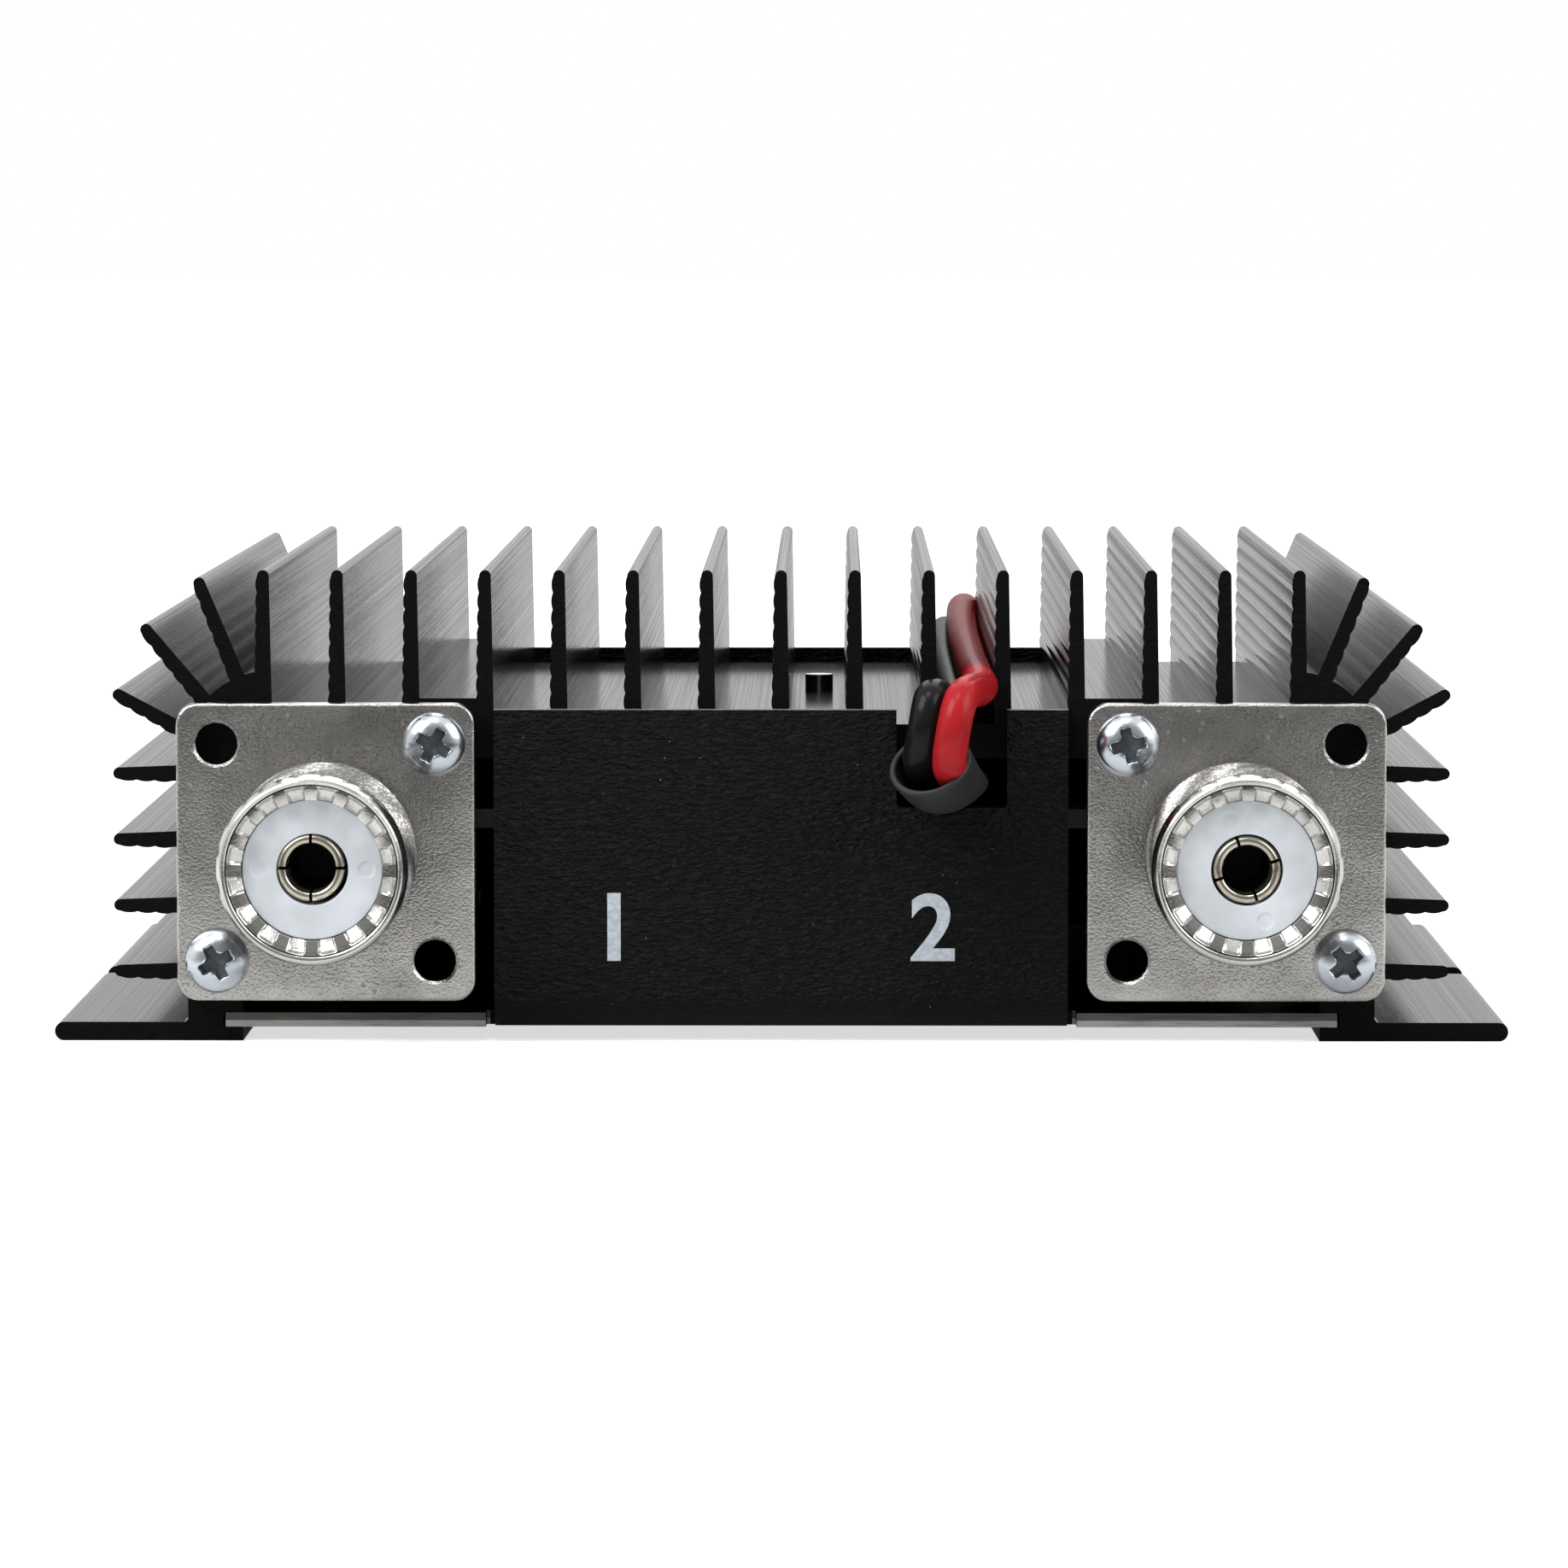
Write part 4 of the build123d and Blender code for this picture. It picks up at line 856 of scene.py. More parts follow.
@dataclass
class TwinLead:
    """The red and black twin lead: its route over the housing, its coil and its parted ends.

    Each place of the route has the direction from the black core to the red one beside it. The tail
    says how far a core goes aside, how far back, and its height.
    """

    core_diameter: float = 2.9
    core_overlap: float = 0.06
    core_columns: int = 20
    core_smooth: float = 50.0
    length_m: float = 0.995
    coil_middle: Pair = (-11.0, 88.0)
    coil_outer: float = 36.2
    coil_step: float = 6.2
    coil_turns: int = 2
    climb_turns: float = 0.5
    coil_low: float = 3.0
    coil_high: float = 7.6
    coil_tilt: float = 14.0
    tilt_sway: float = 0.5
    sway_run: float = 31.0
    level_run: float = 40.0
    turn_run: float = 8.0
    points_per_turn: int = 16
    steps_per_point: int = 8
    least_gap: float = 1e-4
    end_run: float = 4.0
    strand_count: int = 7
    strand_twist: float = 0.25
    strand_root: float = 0.93
    strand_swell: float = 0.07
    tip_diameter: float = 1.5
    tip_length: float = 7.0
    tip_rows: int = 24
    tip_columns: int = 42
    route: tuple[tuple[Point, Point], ...] = (
        ((13.6, -45.5, 23.0), (0.8, -0.5, 0.0)),
        ((12.85, -48.6, 23.85), (0.75, -0.65, 0.0)),
        ((13.1, -50.5, 26.2), (0.8, -0.6, 0.0)),
        ((13.7, -50.3, 29.7), (0.86, -0.5, 0.0)),
        ((14.3, -47.6, 30.3), (0.9, -0.35, 0.1)),
        ((15.9, -43.8, 29.5), (0.85, 0.0, 0.5)),
        ((15.72, -36.0, 29.9), (0.66, 0.0, 0.75)),
        ((15.71, -20.0, 29.72), (0.64, 0.0, 0.77)),
        ((15.71, 0.0, 29.72), (0.64, 0.0, 0.77)),
        ((15.71, 18.0, 29.8), (0.62, 0.0, 0.78)),
        ((15.8, 33.0, 30.4), (0.6, 0.0, 0.8)),
        ((16.0, 43.0, 31.5), (0.62, 0.0, 0.78)),
        ((17.8, 50.4, 29.1), (0.8, 0.2, 0.4)),
        ((20.0, 55.4, 23.2), (1.0, 0.1, 0.1)),
        ((21.2, 58.2, 15.7), (1.0, 0.0, 0.0)),
        ((22.8, 62.6, 8.5), (1.0, 0.0, 0.0)),
        ((24.5, 70.0, 4.5), (1.0, 0.0, 0.1)),
        ((25.2, 79.0, 3.0), (1.0, 0.0, 0.2)),
        ((25.2, 84.0, 3.0), (1.0, 0.0, 0.25)),
    )
    tail: tuple[Point, ...] = (
        (1.45, 0.0, 7.6), (1.45, 5.0, 7.6), (2.3, 11.0, 6.0),
        (3.6, 17.5, 2.7), (4.6, 24.0, 1.5), (5.2, 29.5, 1.5),
    )

    def coil_points(self) -> np.ndarray:
        """Control points of the coil: a spiral in, a half turn that climbs, and a spiral out.

        The radius falls by one step a turn on the lower layer, stays while the lead climbs and grows
        again above. Points stand half a step off the turn's start, and further out by one over the
        cosine of half a step, so that the curve touches the true radius and runs on straight ends.

        Returns:
            Points in millimetres.
        """
        count = int((2 * self.coil_turns + self.climb_turns) * self.points_per_turn)
        turn = (np.arange(count) + 0.5) / self.points_per_turn
        inward = np.clip(turn, 0.0, self.coil_turns)
        outward = np.clip(turn - self.coil_turns - self.climb_turns, 0.0, self.coil_turns)
        radius = self.coil_outer - self.coil_step * (inward - outward)
        radius = radius / cos(pi / self.points_per_turn)
        climb = np.clip((turn - self.coil_turns) / self.climb_turns, 0.0, 1.0)
        height = self.coil_low + (self.coil_high - self.coil_low) * (1.0 - np.cos(pi * climb)) / 2.0
        x = self.coil_middle[0] + radius * np.cos(tau * turn)
        y = self.coil_middle[1] + radius * np.sin(tau * turn)
        return np.stack([x, y, height], axis=1)

    def line_of(self, points: np.ndarray) -> np.ndarray:
        """Points along the NURBS spline of order 3 that has the given control points."""
        curve = bpy.data.curves.new("lead_line", "CURVE")
        curve.dimensions = "3D"
        curve.resolution_u = self.steps_per_point
        spline = curve.splines.new("NURBS")
        spline.points.add(len(points) - 1)
        weighted = np.hstack([points * MM, np.ones((len(points), 1))])
        spline.points.foreach_set("co", weighted.astype(np.float32).ravel())
        spline.order_u = 3
        spline.use_endpoint_u = True
        mesh, line = mesh_of(curve)
        bpy.data.meshes.remove(mesh)
        line = line / MM
        return line[np.concatenate([[True], gaps(line) > self.least_gap])]

    def red_side(self, line: np.ndarray) -> np.ndarray:
        """Direction from the black core to the red one at each point of the line.

        Along the route it goes from one chosen direction to the next; in the coil it points outward
        from the coil's middle and tilts up a little, and comes level again at the end.

        Args:
            line: Points of the lead's middle line.

        Returns:
            One direction for each point.
        """
        places, sides = (np.array(part) for part in zip(*self.route))
        travel = np.concatenate([[0.0], np.cumsum(gaps(line))])
        near = np.argmin(np.linalg.norm(line[:, None] - places[None], axis=2), axis=0)
        chosen = [np.interp(travel, travel[near], sides[:, axis]) for axis in range(3)]
        outward = line - np.array([*self.coil_middle, 0.0])
        outward[:, 2] = 0.0
        outward = unit(outward)
        level = np.clip((travel[-1] - travel) / self.level_run, 0.0, 1.0)
        swing = 1.0 + self.tilt_sway * np.sin(travel / self.sway_run)
        tilt = np.radians(self.coil_tilt) * swing * level
        outward = outward * np.cos(tilt)[:, None]
        outward[:, 2] = np.sin(tilt)
        coil_start = travel[near[-1]]
        share = smooth_share(travel, coil_start - self.turn_run, coil_start + self.turn_run)[:, None]
        return unit(np.stack(chosen, axis=1)) * (1.0 - share) + outward * share

    def build(self) -> None:
        middle_x, middle_y = self.coil_middle
        end = np.array([middle_x - self.coil_outer, middle_y - self.end_run, self.coil_high])
        places = np.array([place for place, _ in self.route])
        line = self.line_of(np.vstack([places, self.coil_points(), end]))
        side = self.red_side(line)
        first, _ = cross_frame(line, side)
        radius = self.core_diameter / 2
        offset = (radius - self.core_overlap / 2) * first
        red = Surface.tube(line + offset, side, radius, self.core_columns)
        black = Surface.tube(line - offset, side, radius, self.core_columns, 1)
        finishes = [Finishes.LEAD_RED, Finishes.LEAD_BLACK]
        nodes = ("power_cord", "cord_coil")
        lead = (red + black).build("supply_lead", finishes, self.core_smooth, nodes, Finishes.LEAD_BLACK)
        pieces = self._ends(end) + [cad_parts["coil_tie"]]
        dress(Finishes.TIE, "coil_tie")
        LOG.info("lead line: %.4f m", gaps(line).sum() * MM)

    def _ends(self, start: np.ndarray) -> list[bpy.types.Object]:
        """Makes the two cores from where they part, and their bare tips."""
        made, tips = [], []
        aside, back, height = np.array(self.tail).T
        for core, sign, finish in (("red", -1.0, Finishes.LEAD_RED), ("black", 1.0, Finishes.LEAD_BLACK)):
            line = self.line_of(np.stack([start[0] + sign * aside, start[1] - back, height], axis=1))
            tube = Surface.tube(line, (1.0, 0.0, 0.0), self.core_diameter / 2, self.core_columns)
            made.append(tube.build(f"{core}_core_end", [finish], self.core_smooth, (f"{core}_lead_end",)))
            tips.append(self._tip(line[-1], unit(line[-1] - line[-2])))
        made.append(reduce(add, tips).build("stranded_tips", [Finishes.TINNED], 60.0, ("lead_tips",)))
        return made

    def _tip(self, start: np.ndarray, ahead: np.ndarray) -> Surface:
        """A bare tip: a tube whose radius swells at each strand, twisted along its length."""
        along = np.linspace(0.0, self.tip_length, self.tip_rows)[:, None]
        twist = self.strand_count * (angles(self.tip_columns)[None] + along * self.strand_twist)
        radius = self.tip_diameter / 2 * (self.strand_root + self.strand_swell * np.cos(twist))
        return Surface.tube(start + along * ahead, (1.0, 0.0, 0.0), radius, self.tip_columns)


@dataclass
class CordSleeve:
    """The soft sleeve round the lead: flat in the panel's notch, round and open at its mouth."""

    widths: tuple[float, ...] = (6.3, 6.3, 6.7, 7.1)
    heights: tuple[float, ...] = (3.4, 3.4, 6.2, 7.3)
    middles: tuple[Point, ...] = (
        (14.5, -39.5, 22.2), (14.4, -42.5, 22.2), (13.6, -45.5, 22.9), (12.6, -48.5, 24.2)
    )
    ways: tuple[Point, ...] = (
        (0.0, -1.0, 0.0), (0.0, -1.0, 0.0), (-0.32, -0.91, 0.25), (-0.25, -0.62, 0.74)
    )
    wall: float = 0.6
    columns: int = 48
    rows: int = 40
    lip_rows: int = 5

    def build(self) -> None:
        """Makes the sleeve as one closed skin: outside to the mouth, round its lip, and back inside.

        Each ring is an ellipse about a middle point, square to a direction; middle, direction, width
        and height follow smooth cubic curves through the chosen places.
        """
        share = np.linspace(0.0, 1.0, self.rows)
        middle = self._through(self.middles, share)
        way = unit(self._through(self.ways, share))
        width, height = self._through(np.stack([self.widths, self.heights], axis=1), share).T
        lip = np.linspace(0.0, pi, self.lip_rows + 2)[1:-1]
        row, none = np.arange(self.rows), np.zeros(self.rows)
        inset = np.concatenate([none, self.wall * (1 - np.cos(lip)) / 2, none + self.wall])
        reach = np.concatenate([none, self.wall * np.sin(lip) / 2, none])
        order = np.concatenate([row, np.full(self.lip_rows, self.rows - 1), row[::-1]])
        across = unit(np.cross(way, (0.0, 0.0, 1.0)))
        up = np.cross(across, way)
        angle = angles(self.columns)
        ring_a = (width[order] / 2 - inset)[:, None, None] * across[order][:, None] * np.cos(angle)[:, None]
        ring_b = (height[order] / 2 - inset)[:, None, None] * up[order][:, None] * np.sin(angle)[:, None]
        start = (middle[order] + reach[:, None] * way[order])[:, None]
        skin = Surface.grid(start + ring_a + ring_b, True, True)
        skin.build("sleeve_skin", [Finishes.RUBBER], 60.0, ("cord_sleeve",))

    @staticmethod
    def _through(places: Sequence[Sequence[float]], share: np.ndarray) -> np.ndarray:
        """Points of a cubic through evenly spaced places, its slope half the step between neighbours."""
        known = np.array(places, float)
        slope = np.gradient(known, axis=0)
        step = np.clip(share * (len(known) - 1), 0.0, len(known) - 1 - 1e-9)
        left = step.astype(int)
        t = (step - left)[:, None]
        a, b = known[left], known[left + 1]
        from_a, from_b = slope[left], slope[left + 1]
        return (
            a * (2 * t**3 - 3 * t**2 + 1)
            + from_a * (t**3 - 2 * t**2 + t)
            + b * (3 * t**2 - 2 * t**3)
            + from_b * (t**3 - t**2)
        )


# Coaxial sockets and screws


@dataclass
class Socket:
    """One coaxial socket: plated body, insulator and split contact.

    Heights start at the flange's face. The thread fades out between two distances short of its end.
    A notch's flank goes by shares of a tooth's pitch, its start by shares of the way to the bore.
    """

    name: str
    middle_x: float
    contact_turn: float
    mark_turn: float
    contact_shift: Pair = (0.0, 0.0)
    middle_z: float = 16.3
    face_y: float = -43.0
    flange_size: float = 25.4
    flange_thickness: float = 2.0
    flange_corner: float = 1.8
    flange_edge: float = 0.32
    hole_diameter: float = 3.6
    hole_edge: float = 0.22
    hole_spacing: float = 18.5
    side_steps: int = 8
    edge_rows: int = 5
    thread_diameter: float = 15.875
    thread_pitch: float = 25.4 / 24
    thread_depth: float = 0.5
    thread_rows: int = 110
    groove_top: float = 1.25
    groove_slope: float = 3.0
    thread_start: float = 0.5
    thread_stop: Pair = (1.3, 0.4)
    relief_diameter: float = 14.8
    relief_length: float = 2.4
    relief_slope: float = 0.4
    barrel_length: float = 16.7
    barrel_foot: float = 0.2
    rim_height: float = 1.0
    lip_profile: tuple[Pair, ...] = (
        (0.0, 1.0), (0.28, 0.25), (0.36, 0.08), (0.5, 0.0),
        (0.66, 0.02), (0.76, 0.1), (0.82, 0.34), (0.9, 0.12),
    )
    bore: float = 11.7
    tooth_count: int = 16
    tooth_depth: float = 0.9
    tooth_rows: int = 13
    notch_flank: Pair = (0.2, 0.27)
    notch_start: Pair = (0.02, 0.2)
    notch_slope: Pair = (0.25, 0.75)
    tooth_fall: float = 0.2
    rear_boss: float = 12.6
    rear_length: float = 7.0
    recess: float = 1.4
    disc_gap: float = 0.05
    disc_rear: float = 2.0
    disc_rows: int = 30
    disc_edge: float = 0.12
    edge_bevel: float = 0.03
    mark_circle: float = 4.5
    mark_depth: float = 0.1
    mark_radii: Pair = (0.55, 0.75)
    contact_diameter: float = 5.6
    contact_gap: float = 0.17
    contact_bore: float = 4.0
    contact_depth: float = 12.0
    contact_floor: float = 1.0
    contact_slot: float = 0.26
    contact_lip: float = 0.38
    finger_count: int = 4
    finger_columns: int = 17
    lip_rows: int = 6
    floor_columns: int = 48
    columns: int = 320

    def build(self) -> None:
        """Makes the body, the insulator and the contact."""
        cup = self.contact().placed((*self.contact_shift, 0), UPRIGHT)
        # The second and third finishes are the lighter and darker copies of the plating: painted highlight
        # and painted shade
        body_finishes = (Finishes.NICKEL, Finishes.PLATED, Finishes.THREAD)
        pieces = (
            ("shell", self.flange() + self.barrel(), body_finishes, 32.0, "body"),
            ("disc", self.insulator(), (Finishes.INSULATOR,), 40.0, "insulator"),
            ("pin_cup", cup, (Finishes.CONTACT, Finishes.BORE), 35.0, "contact"),
        )
        for title, form, finishes, smooth, node in pieces:
            turned = form.placed((self.middle_x, self.face_y, self.middle_z), REARWARD)
            turned.build(f"{self.name}_socket_{title}", finishes, smooth, (f"{self.name}_socket_{node}",))

    def flange(self) -> Surface:
        """A square plate with four holes, made of four like quarters.

        A quarter is a grid whose columns go round its hole, from the hole's wall over the face to the
        quarter's border. Where the border is the plate's own edge, the rows go on over the rounded
        edge and the side to the back; where it meets the next quarter, they stop.

        Returns:
            The closed plate.
        """
        inner = self.flange_size / 2 - self.flange_edge
        arc = self.flange_corner - self.flange_edge
        steps = np.linspace(0.0, 1.0, self.side_steps + 1)[:-1]
        turn = np.linspace(0.0, pi / 2, self.side_steps + 1)[:-1]
        none, straight = 0 * steps, inner - arc
        corner_way = np.stack([np.cos(turn), np.sin(turn)], 1)
        parts = [
            (np.stack([none, inner * (1 - steps)], 1), (0.0, 0.0)),
            (np.stack([inner * steps, none], 1), (0.0, 0.0)),
            (np.stack([inner + none, straight * steps], 1), (1.0, 0.0)),
            (straight + arc * corner_way, corner_way),
            (np.stack([straight * (1 - steps), inner + none], 1), (0.0, 1.0)),
        ]
        border = np.vstack([points for points, _ in parts])
        way = np.vstack([np.broadcast_to(way, points.shape) for points, way in parts])
        way[2 * self.side_steps] = (1.0, 0.0)
        way[0] = (0.0, 1.0)
        hole = np.full(2, self.hole_spacing / 2)
        spoke = unit(border - hole)
        edge = self.hole_diameter / 2 + self.hole_edge
        wall = hole + spoke * (edge - self.hole_edge)
        brim = hole + spoke * edge
        bend = np.linspace(0.0, pi / 2, self.edge_rows)
        thick, drop = self.flange_thickness, self.flange_edge
        rows = [(wall, -self.hole_edge), (brim, 0.0), (brim * 0.5 + border * 0.5, 0.0), (border, 0.0)]
        rows += [(border + way * drop * np.sin(b), drop * (np.cos(b) - 1)) for b in bend[1:]]
        rows += [(border + way * drop * np.sin(b), drop * (1 - np.cos(b)) - thick) for b in bend[::-1]]
        rows += [(wall, -thick)]
        grid = np.stack([np.column_stack([flat, np.full(len(flat), height)]) for flat, height in rows])
        quarter = Surface.grid(grid, True, True)
        row, column = np.divmod(quarter.quads[:, 0], len(border))
        outside = (column >= 2 * self.side_steps) | (row < 3) | (row >= len(rows) - 2)
        quarter = Surface(quarter.points, quarter.quads[outside], quarter.paint[outside])
        signs = ((1.0, 1.0), (-1.0, 1.0), (1.0, -1.0), (-1.0, -1.0))
        return reduce(add, (quarter.mirrored(x, y) for x, y in signs))

    def barrel(self) -> Surface:
        """The turned barrel with its screw thread and toothed rim, as one skin.

        Outside, the radius falls below the crest by the thread's depth times a flattened wave of
        height over pitch less angle over a full turn. On the rim the height falls between the teeth.

        Returns:
            The closed barrel.
        """
        angle = angles(self.columns)
        start = self.relief_length + self.relief_slope
        stop = self.barrel_length - self.rim_height
        height = np.linspace(start, stop, self.thread_rows)[:, None]
        wave = np.mod(height / self.thread_pitch - angle[None] / tau, 1.0)
        groove = np.clip(self.groove_top - np.abs(wave - 0.5) * self.groove_slope, 0.0, 1.0)
        fade, gone = (stop - short for short in self.thread_stop)
        ends = smooth_share(height, start, start + self.thread_start)
        ends = ends * (1.0 - smooth_share(height, fade, gone))
        thread_r = self.thread_diameter / 2 - self.thread_depth * groove * ends
        thread_h = np.broadcast_to(height, thread_r.shape)
        rim_r, rim_h = self._rim(angle)
        full = np.ones((1, self.columns))
        bore, boss, relief = (size / 2 * full for size in (self.bore, self.rear_boss, self.relief_diameter))
        radius = np.vstack([bore, boss, boss, relief, relief, thread_r, rim_r, bore])
        rear = -self.rear_length
        depths = [rear, rear, -self.flange_thickness, -self.barrel_foot, self.relief_length]
        level = np.vstack([depth * full for depth in depths] + [thread_h, rim_h, rear * full])
        skin = Surface.lathe(radius, level, self.columns)
        before_rim = len(depths) + len(thread_h) - 1
        # From the rim on, the lighter copy is a painted highlight; below it, the darker copy is painted
        # shade
        skin.paint = np.where(skin.quads[:, 0] // self.columns >= before_rim, 1, 2)
        return skin

    def _rim(self, angle: np.ndarray) -> tuple[np.ndarray, np.ndarray]:
        """Radii and heights of the rim: an outer lip, a groove, then teeth with crimped notches between.

        Args:
            angle: Angle of each column.

        Returns:
            Radii and heights, row by row from the lip to the bore.
        """
        top = self.barrel_length
        inset, drop = np.array(self.lip_profile).T
        lip = self.thread_diameter / 2 - inset
        share = np.linspace(0.0, 1.0, self.tooth_rows + 1)[1:]
        ring = lip[-1] + (self.bore / 2 - lip[-1]) * share
        phase = np.mod(angle * self.tooth_count / tau, 1.0)
        notch = smooth_share(0.5 - np.abs(phase - 0.5), *self.notch_flank)
        fall = smooth_share(share, *self.notch_start)[:, None]
        least, more = self.notch_slope
        slope = (least + more * share)[:, None]
        ring_h = top - drop[-1] - self.tooth_depth * notch[None] * fall * slope
        ring_h = ring_h - self.tooth_fall * share[:, None] ** 2
        flat = np.ones((1, len(angle)))
        radius = np.vstack([lip[:, None] * flat, ring[:, None] * flat])
        return radius, np.vstack([(top - drop)[:, None] * flat, ring_h])

    def insulator(self) -> Surface:
        """The white disc: a closed turned ring whose face has two shallow round mould marks."""
        face = self.barrel_length - self.recess
        rear = self.disc_rear - self.rear_length
        outer = self.bore / 2 - self.disc_gap
        inner = self.contact_diameter / 2 + self.contact_gap
        edge, bevel = self.disc_edge, self.edge_bevel
        ring = np.linspace(outer - edge, inner + edge, self.disc_rows)
        x, y = (ring[:, None] * part(angles(self.columns)) for part in (np.cos, np.sin))
        mark_x, mark_y = (self.mark_circle * part(radians(self.mark_turn)) for part in (cos, sin))
        away = np.minimum(np.hypot(x - mark_x, y - mark_y), np.hypot(x + mark_x, y + mark_y))
        mark = self.mark_depth * (1.0 - smooth_share(away, *self.mark_radii))
        radius = np.concatenate([[inner, outer, outer, outer - bevel], ring, [inner + bevel, inner, inner]])
        before, after = [rear, rear, face - edge, face - bevel], [face - bevel, face - edge, rear]
        flat = np.ones((1, self.columns))
        level = np.vstack([np.array(before)[:, None] * flat, face - mark, np.array(after)[:, None] * flat])
        return Surface.lathe(radius[:, None] * flat, level, self.columns)

    def contact(self) -> Surface:
        """The split centre contact: like fingers about a common bore, and the bore's floor.

        A finger's section runs up the outside, round the lip and down the bore; it is carried round
        the axis from one slot to the next, and its two cut faces are laid between the two walls.

        Returns:
            The surface.
        """
        face = self.barrel_length - self.recess
        outer, inner = self.contact_diameter / 2, self.contact_bore / 2
        lip = self.contact_lip
        bend = np.linspace(0.0, pi / 2, self.lip_rows)
        low = face - self.contact_depth
        outside = np.concatenate([[outer], outer - lip * (1 - np.cos(bend))])
        inside = np.concatenate([[inner], inner + lip * (1 - np.cos(bend))])
        rise = np.concatenate([[low], face - lip + lip * np.sin(bend)])
        half = len(rise)
        radius = np.concatenate([outside, inside[::-1]])[:, None]
        height = np.concatenate([rise, rise[::-1]])[:, None]
        share = np.linspace(-1.0, 1.0, self.finger_columns)
        swing = pi / self.finger_count - np.arcsin(self.contact_slot / 2 / radius)
        made = []
        for number in range(self.finger_count):
            angle = radians(self.contact_turn) + (number + 0.5) * tau / self.finger_count + swing * share
            parts = (radius * np.cos(angle), radius * np.sin(angle), np.broadcast_to(height, angle.shape))
            points = np.stack(parts, axis=-1)
            finger = Surface.grid(points, True, False)
            finger.paint = (finger.quads[:, 0] // len(share) >= half + len(bend) - 1).astype(int)
            cuts = [np.stack([points[:half, end], points[half:, end][::-1]]) for end in (0, -1)]
            made += [finger, *(Surface.grid(cut) for cut in cuts)]
        levels = np.array([low, low, low - self.contact_floor, low - self.contact_floor])
        made.append(Surface.lathe(np.array([0.0, outer, outer, 0.0]), levels, self.floor_columns, 1))
        return reduce(add, made)


@dataclass
class ScrewHeads:
    """Round screw heads with a cross recess, seated on the rear and on the front.

    A profile goes by shares of the distance to the cross's edge: the floor's with the rise above its
    level, the wall's with the depth under the crown. Each place has its X and Z and the angle that the
    driver left the head at, in degrees.
    """

    diameter: float = 5.5
    height: float = 1.9
    fullness: float = 2.3
    arm_half_width: float = 0.46
    arm_reach: float = 1.5
    arm_bow: float = 1.6
    arm_power: int = 10
    core_power: int = 8
    recess_core: float = 0.88
    recess_depth: float = 1.1
    floor_profile: tuple[Pair, ...] = ((0.0, -0.15), (0.35, 0.0), (0.78, 0.12))
    wall_profile: tuple[Pair, ...] = ((0.95, 0.12), (1.0, 0.03))
    brim: float = 0.05
    crown_rows: int = 16
    columns: int = 160
    places: tuple[Point, ...] = (
        (-29.4, 25.55, 62.0), (29.4, 25.55, 12.0), (-47.9, 7.05, 28.0), (47.9, 7.05, 38.0)
    )
    rear_y: float = -43.0
    front_y: float = 42.25
    front_turn: float = 31.0

    def crown(self, radius: np.ndarray) -> np.ndarray:
        """Height of the crowned top at a radius."""
        share = np.clip(radius / (self.diameter / 2), 0.0, 1.0)
        return self.height * (1.0 - share**self.fullness) ** (1.0 / self.fullness)

    def head(self, turn: float) -> Surface:
        """One closed head, seated at zero: the recess floor, its walls, the crowned top and the seat.

        Round the cross the edge lies at the distance c(t), the least of an arm's side w / sin(t) and
        its end s / cos(t), but no less than a round core. Outside it the height is
        h (1 - (r / R)^n)^(1/n).

        Args:
            turn: Angle of the cross, in degrees.

        Returns:
            The head.
        """
        angle = angles(self.columns)
        folded = np.abs(np.mod(angle + pi / 4, pi / 2) - pi / 4)
        with np.errstate(divide="ignore"):
            side = self.arm_half_width / np.sin(folded)
        flank = np.where(np.isfinite(side), side, self.arm_reach * 2)
        end = self.arm_reach / np.cos(folded * self.arm_bow)
        edge = (flank**-self.arm_power + end**-self.arm_power) ** (-1 / self.arm_power)
        edge = (edge**self.core_power + self.recess_core**self.core_power) ** (1 / self.core_power)
        none, brim = 0.0 * edge, edge + self.brim
        floor = self.height - self.recess_depth
        rows = [(edge * share, floor + rise + none) for share, rise in self.floor_profile]
        rows += [(edge * share, self.crown(edge) - depth) for share, depth in self.wall_profile]
        shares = np.sin(np.linspace(0.0, pi / 2, self.crown_rows))
        rings = [brim * (1 - share) + self.diameter / 2 * share for share in shares]
        rows += [(ring, self.crown(ring)) for ring in rings] + [(none, none)]
        radii, heights = (np.array(part) for part in zip(*rows))
        made = Surface.lathe(radii, heights, self.columns)
        made.paint = (made.quads[:, 0] // self.columns < len(self.floor_profile)).astype(int)
        c, s = cos(radians(turn)), sin(radians(turn))
        return made.placed((0, 0, 0), ((c, s, 0), (-s, c, 0), (0, 0, 1)))

    def build(self) -> None:
        """Makes the four heads behind and the four in front."""
        sides = (
            ("socket_screw_heads", self.rear_y, REARWARD, 0.0, "socket_screws"),
            ("front_screw_heads", self.front_y, FORWARD, self.front_turn, "front_panel_screws"),
        )
        for name, y, axes, more, node in sides:
            heads = [self.head(turn + more).placed((x, y, z), axes) for x, z, turn in self.places]
            reduce(add, heads).build(name, [Finishes.ZINC, Finishes.RECESS], 40.0, (node,))


# Housing, front and inside


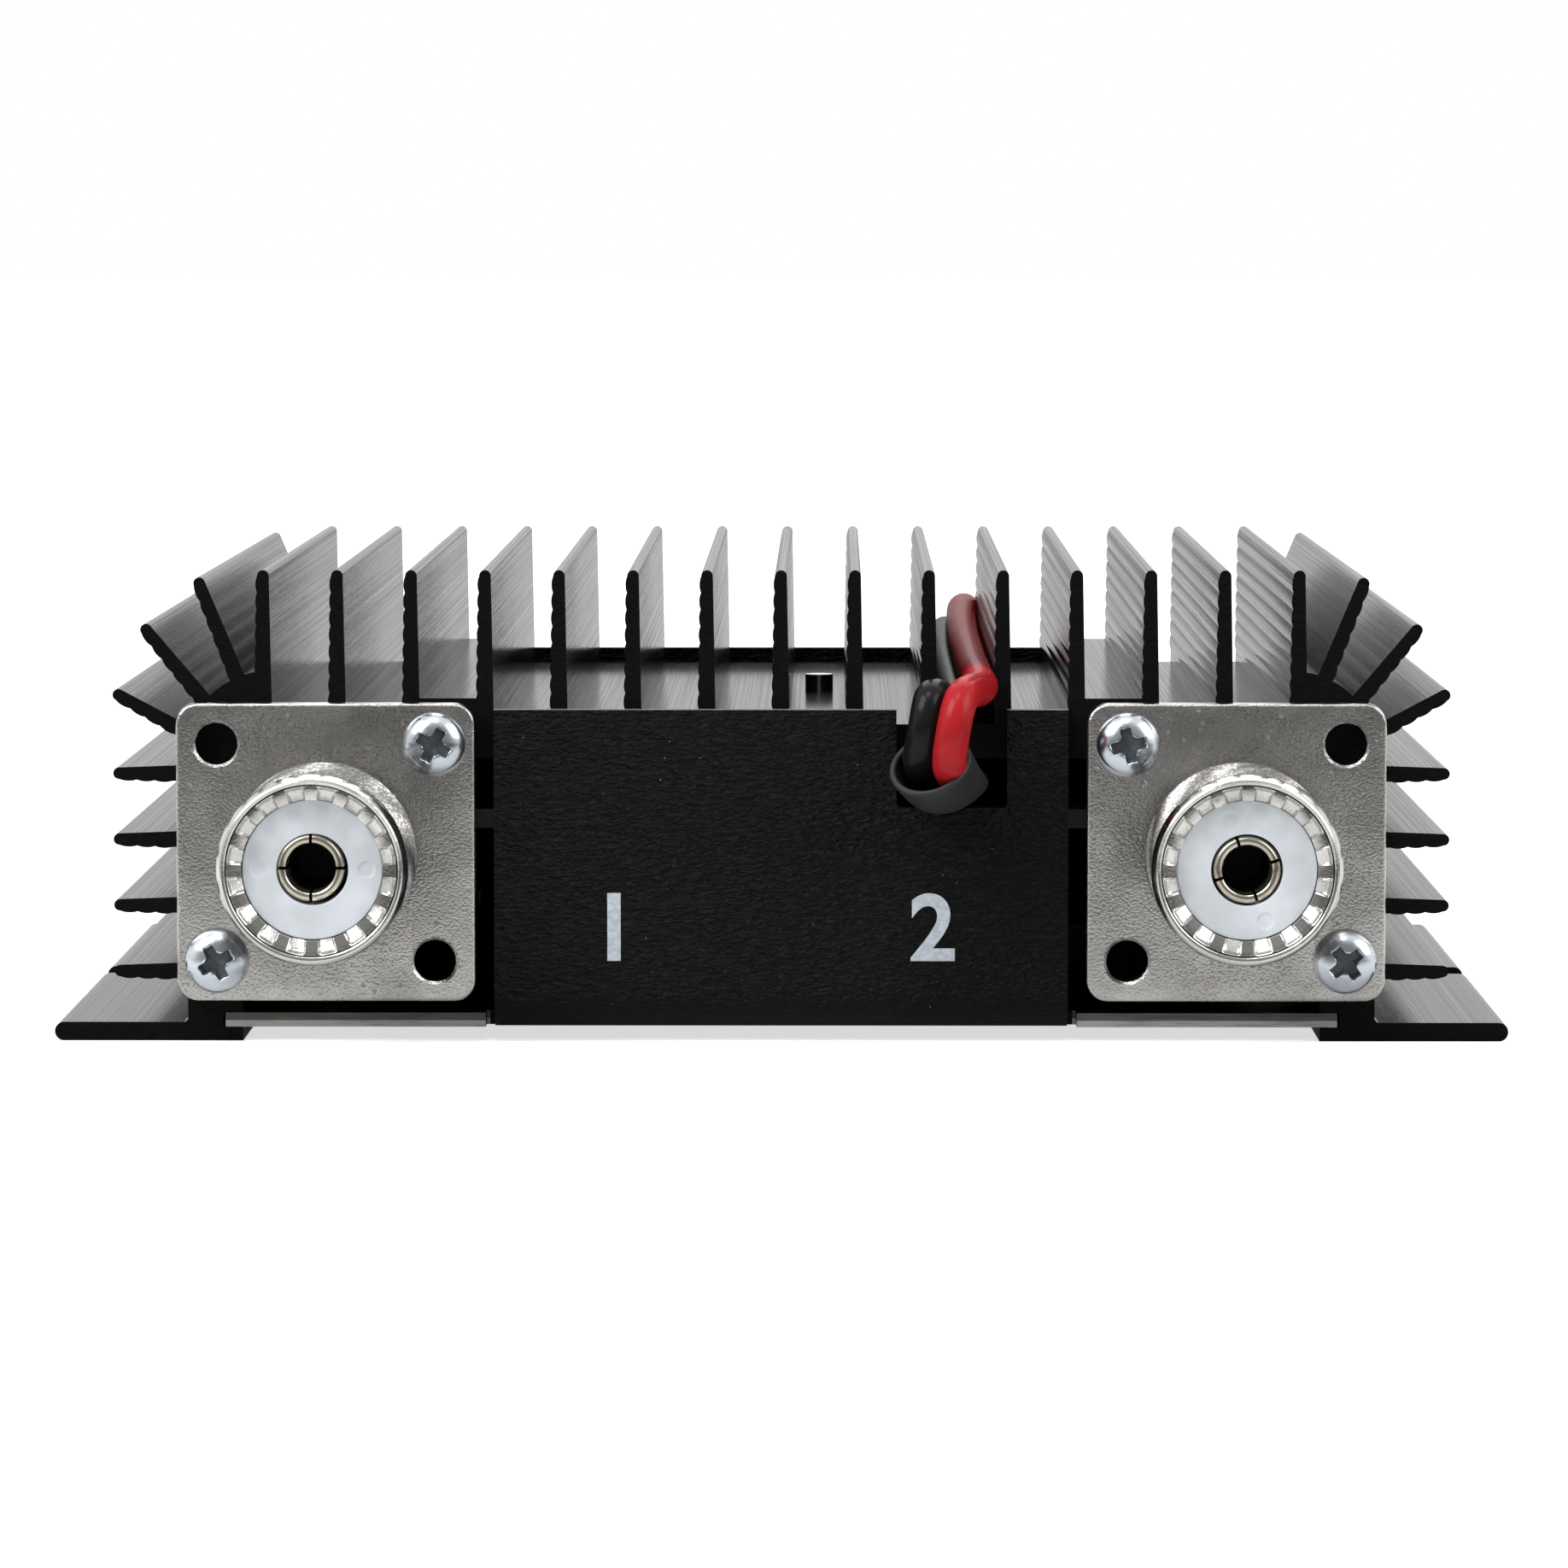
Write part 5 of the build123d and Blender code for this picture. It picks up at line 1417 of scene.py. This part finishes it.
@dataclass
class Housing:
    """The extruded housing, its sheet cover and front panel, and the plain numbers beside the sockets."""

    panel_face: float = -42.25
    number_height: float = 5.8
    number_z: float = 9.9
    number_columns: Pair = (-14.2, 12.9)
    letter_extrude: float = 0.01
    letter_offset: float = 0.022
    film_half: float = 0.015
    film_middle: float = 0.012

    def build(self) -> None:
        """Dresses the housing's solids and prints the numbers."""
        dress(Finishes.ANODISED, "heatsink")
        dress(Finishes.PAINT, "bottom_cover", "front_panel")
        dress(Finishes.ZINC, "cover_screws", "transistor_screw")
        for number, x in enumerate(self.number_columns, start=1):
            keep(self.printed(f"socket_number_{number}", str(number), x), Finishes.PAINT)

    def printed(self, name: str, text: str, x: float) -> bpy.types.Object:
        """A flat printed mark, laid on the rear panel as a thin film.

        Args:
            name: Name of the piece.
            text: What is printed.
            x: Where its middle is across the panel.

        Returns:
            The mark.
        """
        data = bpy.data.curves.new(name, "FONT")
        data.body = text
        data.align_x = "CENTER"
        data.align_y = "CENTER"
        data.extrude = self.letter_extrude
        data.offset = self.letter_offset
        mesh, flat = mesh_of(data)
        low, high = flat.min(axis=0), flat.max(axis=0)
        flat = (flat - (low + high) / 2) * self.number_height / (high[1] - low[1])
        film = np.clip(flat[:, 2] * 1e3, -self.film_half, self.film_half)
        deep = self.panel_face - (film + self.film_middle)
        points = np.stack([x + flat[:, 0], deep, self.number_z + flat[:, 1]], axis=1)
        mesh.vertices.foreach_set("co", (points * MM).astype(np.float32).ravel())
        mesh.materials.clear()
        return finished_object(mesh, name, [Finishes.INK], 30.0)


@dataclass
class FrontControls:
    """Rocker switches and lamps on the front panel."""

    face_y: float = 42.25
    lamp_columns: Pair = (-4.0, 4.5)
    lamp_z: float = 13.2
    lamp_radius: float = 1.5
    lamp_proud: float = 2.4
    lamp_foot: float = -3.0
    dome_rows: int = 14
    lens_columns: int = 64
    holder_radius: float = 3.1
    holder_proud: float = 1.3
    holder_hole: float = 1.62
    holder_edge: float = 0.5
    edge_rows: int = 7
    holder_columns: int = 72

    def build(self) -> None:
        """Dresses the switches and makes the lamps and their holders."""
        dress(Finishes.MOULDED, "power_switch_body", "mode_switch_body")
        dress(Finishes.ROCKER, "power_switch_rocker", "mode_switch_rocker")
        lenses = (("power_lamp", Finishes.RED_LENS), ("transmit_lamp", Finishes.GREEN_LENS))
        places = [(x, self.face_y, self.lamp_z) for x in self.lamp_columns]
        for (node, finish), place in zip(lenses, places):
            self.lens().placed(place, FORWARD).build(f"{node}_lens", [finish], 40.0, (node,))
        rings = reduce(add, (self.holder().placed(place, FORWARD) for place in places))
        rings.build("lamp_rings", [Finishes.CHROME], 35.0, ("lamp_holders",))

    def lens(self) -> Surface:
        """A lamp: a straight body under a dome, r = R cos(t), h = h0 + R sin(t)."""
        dome = np.linspace(0.0, pi / 2, self.dome_rows)
        shoulder = self.lamp_proud - self.lamp_radius
        radii = np.concatenate([[0.0, self.lamp_radius], self.lamp_radius * np.cos(dome)])
        heights = np.concatenate([[self.lamp_foot] * 2, shoulder + self.lamp_radius * np.sin(dome)])
        return Surface.lathe(radii, heights, self.lens_columns)

    def holder(self) -> Surface:
        """A lamp's ring: a flat washer face with rounded outer and inner edges."""
        bend = np.linspace(0.0, pi / 2, self.edge_rows)
        outer, inner, edge = self.holder_radius, self.holder_hole, self.holder_edge
        shrink = edge * (1 - np.cos(bend))
        rise = self.holder_proud - edge + edge * np.sin(bend)
        radii = np.concatenate([[inner, outer], outer - shrink, inner + shrink[::-1], [inner]])
        heights = np.concatenate([[0.0, 0.0], rise, rise[::-1], [0.0]])
        return Surface.lathe(radii, heights, self.holder_columns)


@dataclass
class Inside:
    """What the closed housing holds: each row is a finish and the nodes that have it."""

    rows: tuple[tuple, ...] = (
        (Finishes.BOARD, "circuit_board"),
        (Finishes.BRASS, "board_spacers"),
        (Finishes.ZINC, "board_screws"),
        (Finishes.MOULDED, "power_transistor"),
        (Finishes.PAD, "thermal_pad"),
        (Finishes.RELAY, "changeover_relay"),
        (Finishes.CAN, "electrolytic_capacitors"),
        (Finishes.COPPER, "supply_choke", "input_transformer_winding", "output_transformer_winding"),
        (Finishes.CERAMIC, "ceramic_capacitors"),
        (Finishes.RESISTOR, "resistors"),
        (Finishes.LEAD_BLACK, "inner_leads"),
        (Finishes.FERRITE, "input_transformer_core", "output_transformer_core"),
    )

    def build(self) -> None:
        """Dresses each inner solid."""
        for finish, *nodes in self.rows:
            dress(finish, *nodes)


def corners(box: tuple[Vector, Vector]) -> list[list[float]]:
    """A box's two corners as plain lists."""
    return [[round(part, 6) for part in corner] for corner in box]


def main() -> None:
    logging.basicConfig(level=logging.INFO, format="%(name)s %(message)s")
    cad_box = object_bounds()
    Studio().build()
    TwinLead().build()
    CordSleeve().build()
    Socket("input", -38.65, 0.0, 0.0, (-0.14, 0.12)).build()
    Socket("output", 38.65, 18.0, 110.0).build()
    ScrewHeads().build()
    Housing().build()
    FrontControls().build()
    Inside().build()
    {"cad": corners(cad_box), "visual": corners(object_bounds())}


if __name__ == "__main__":
    main()
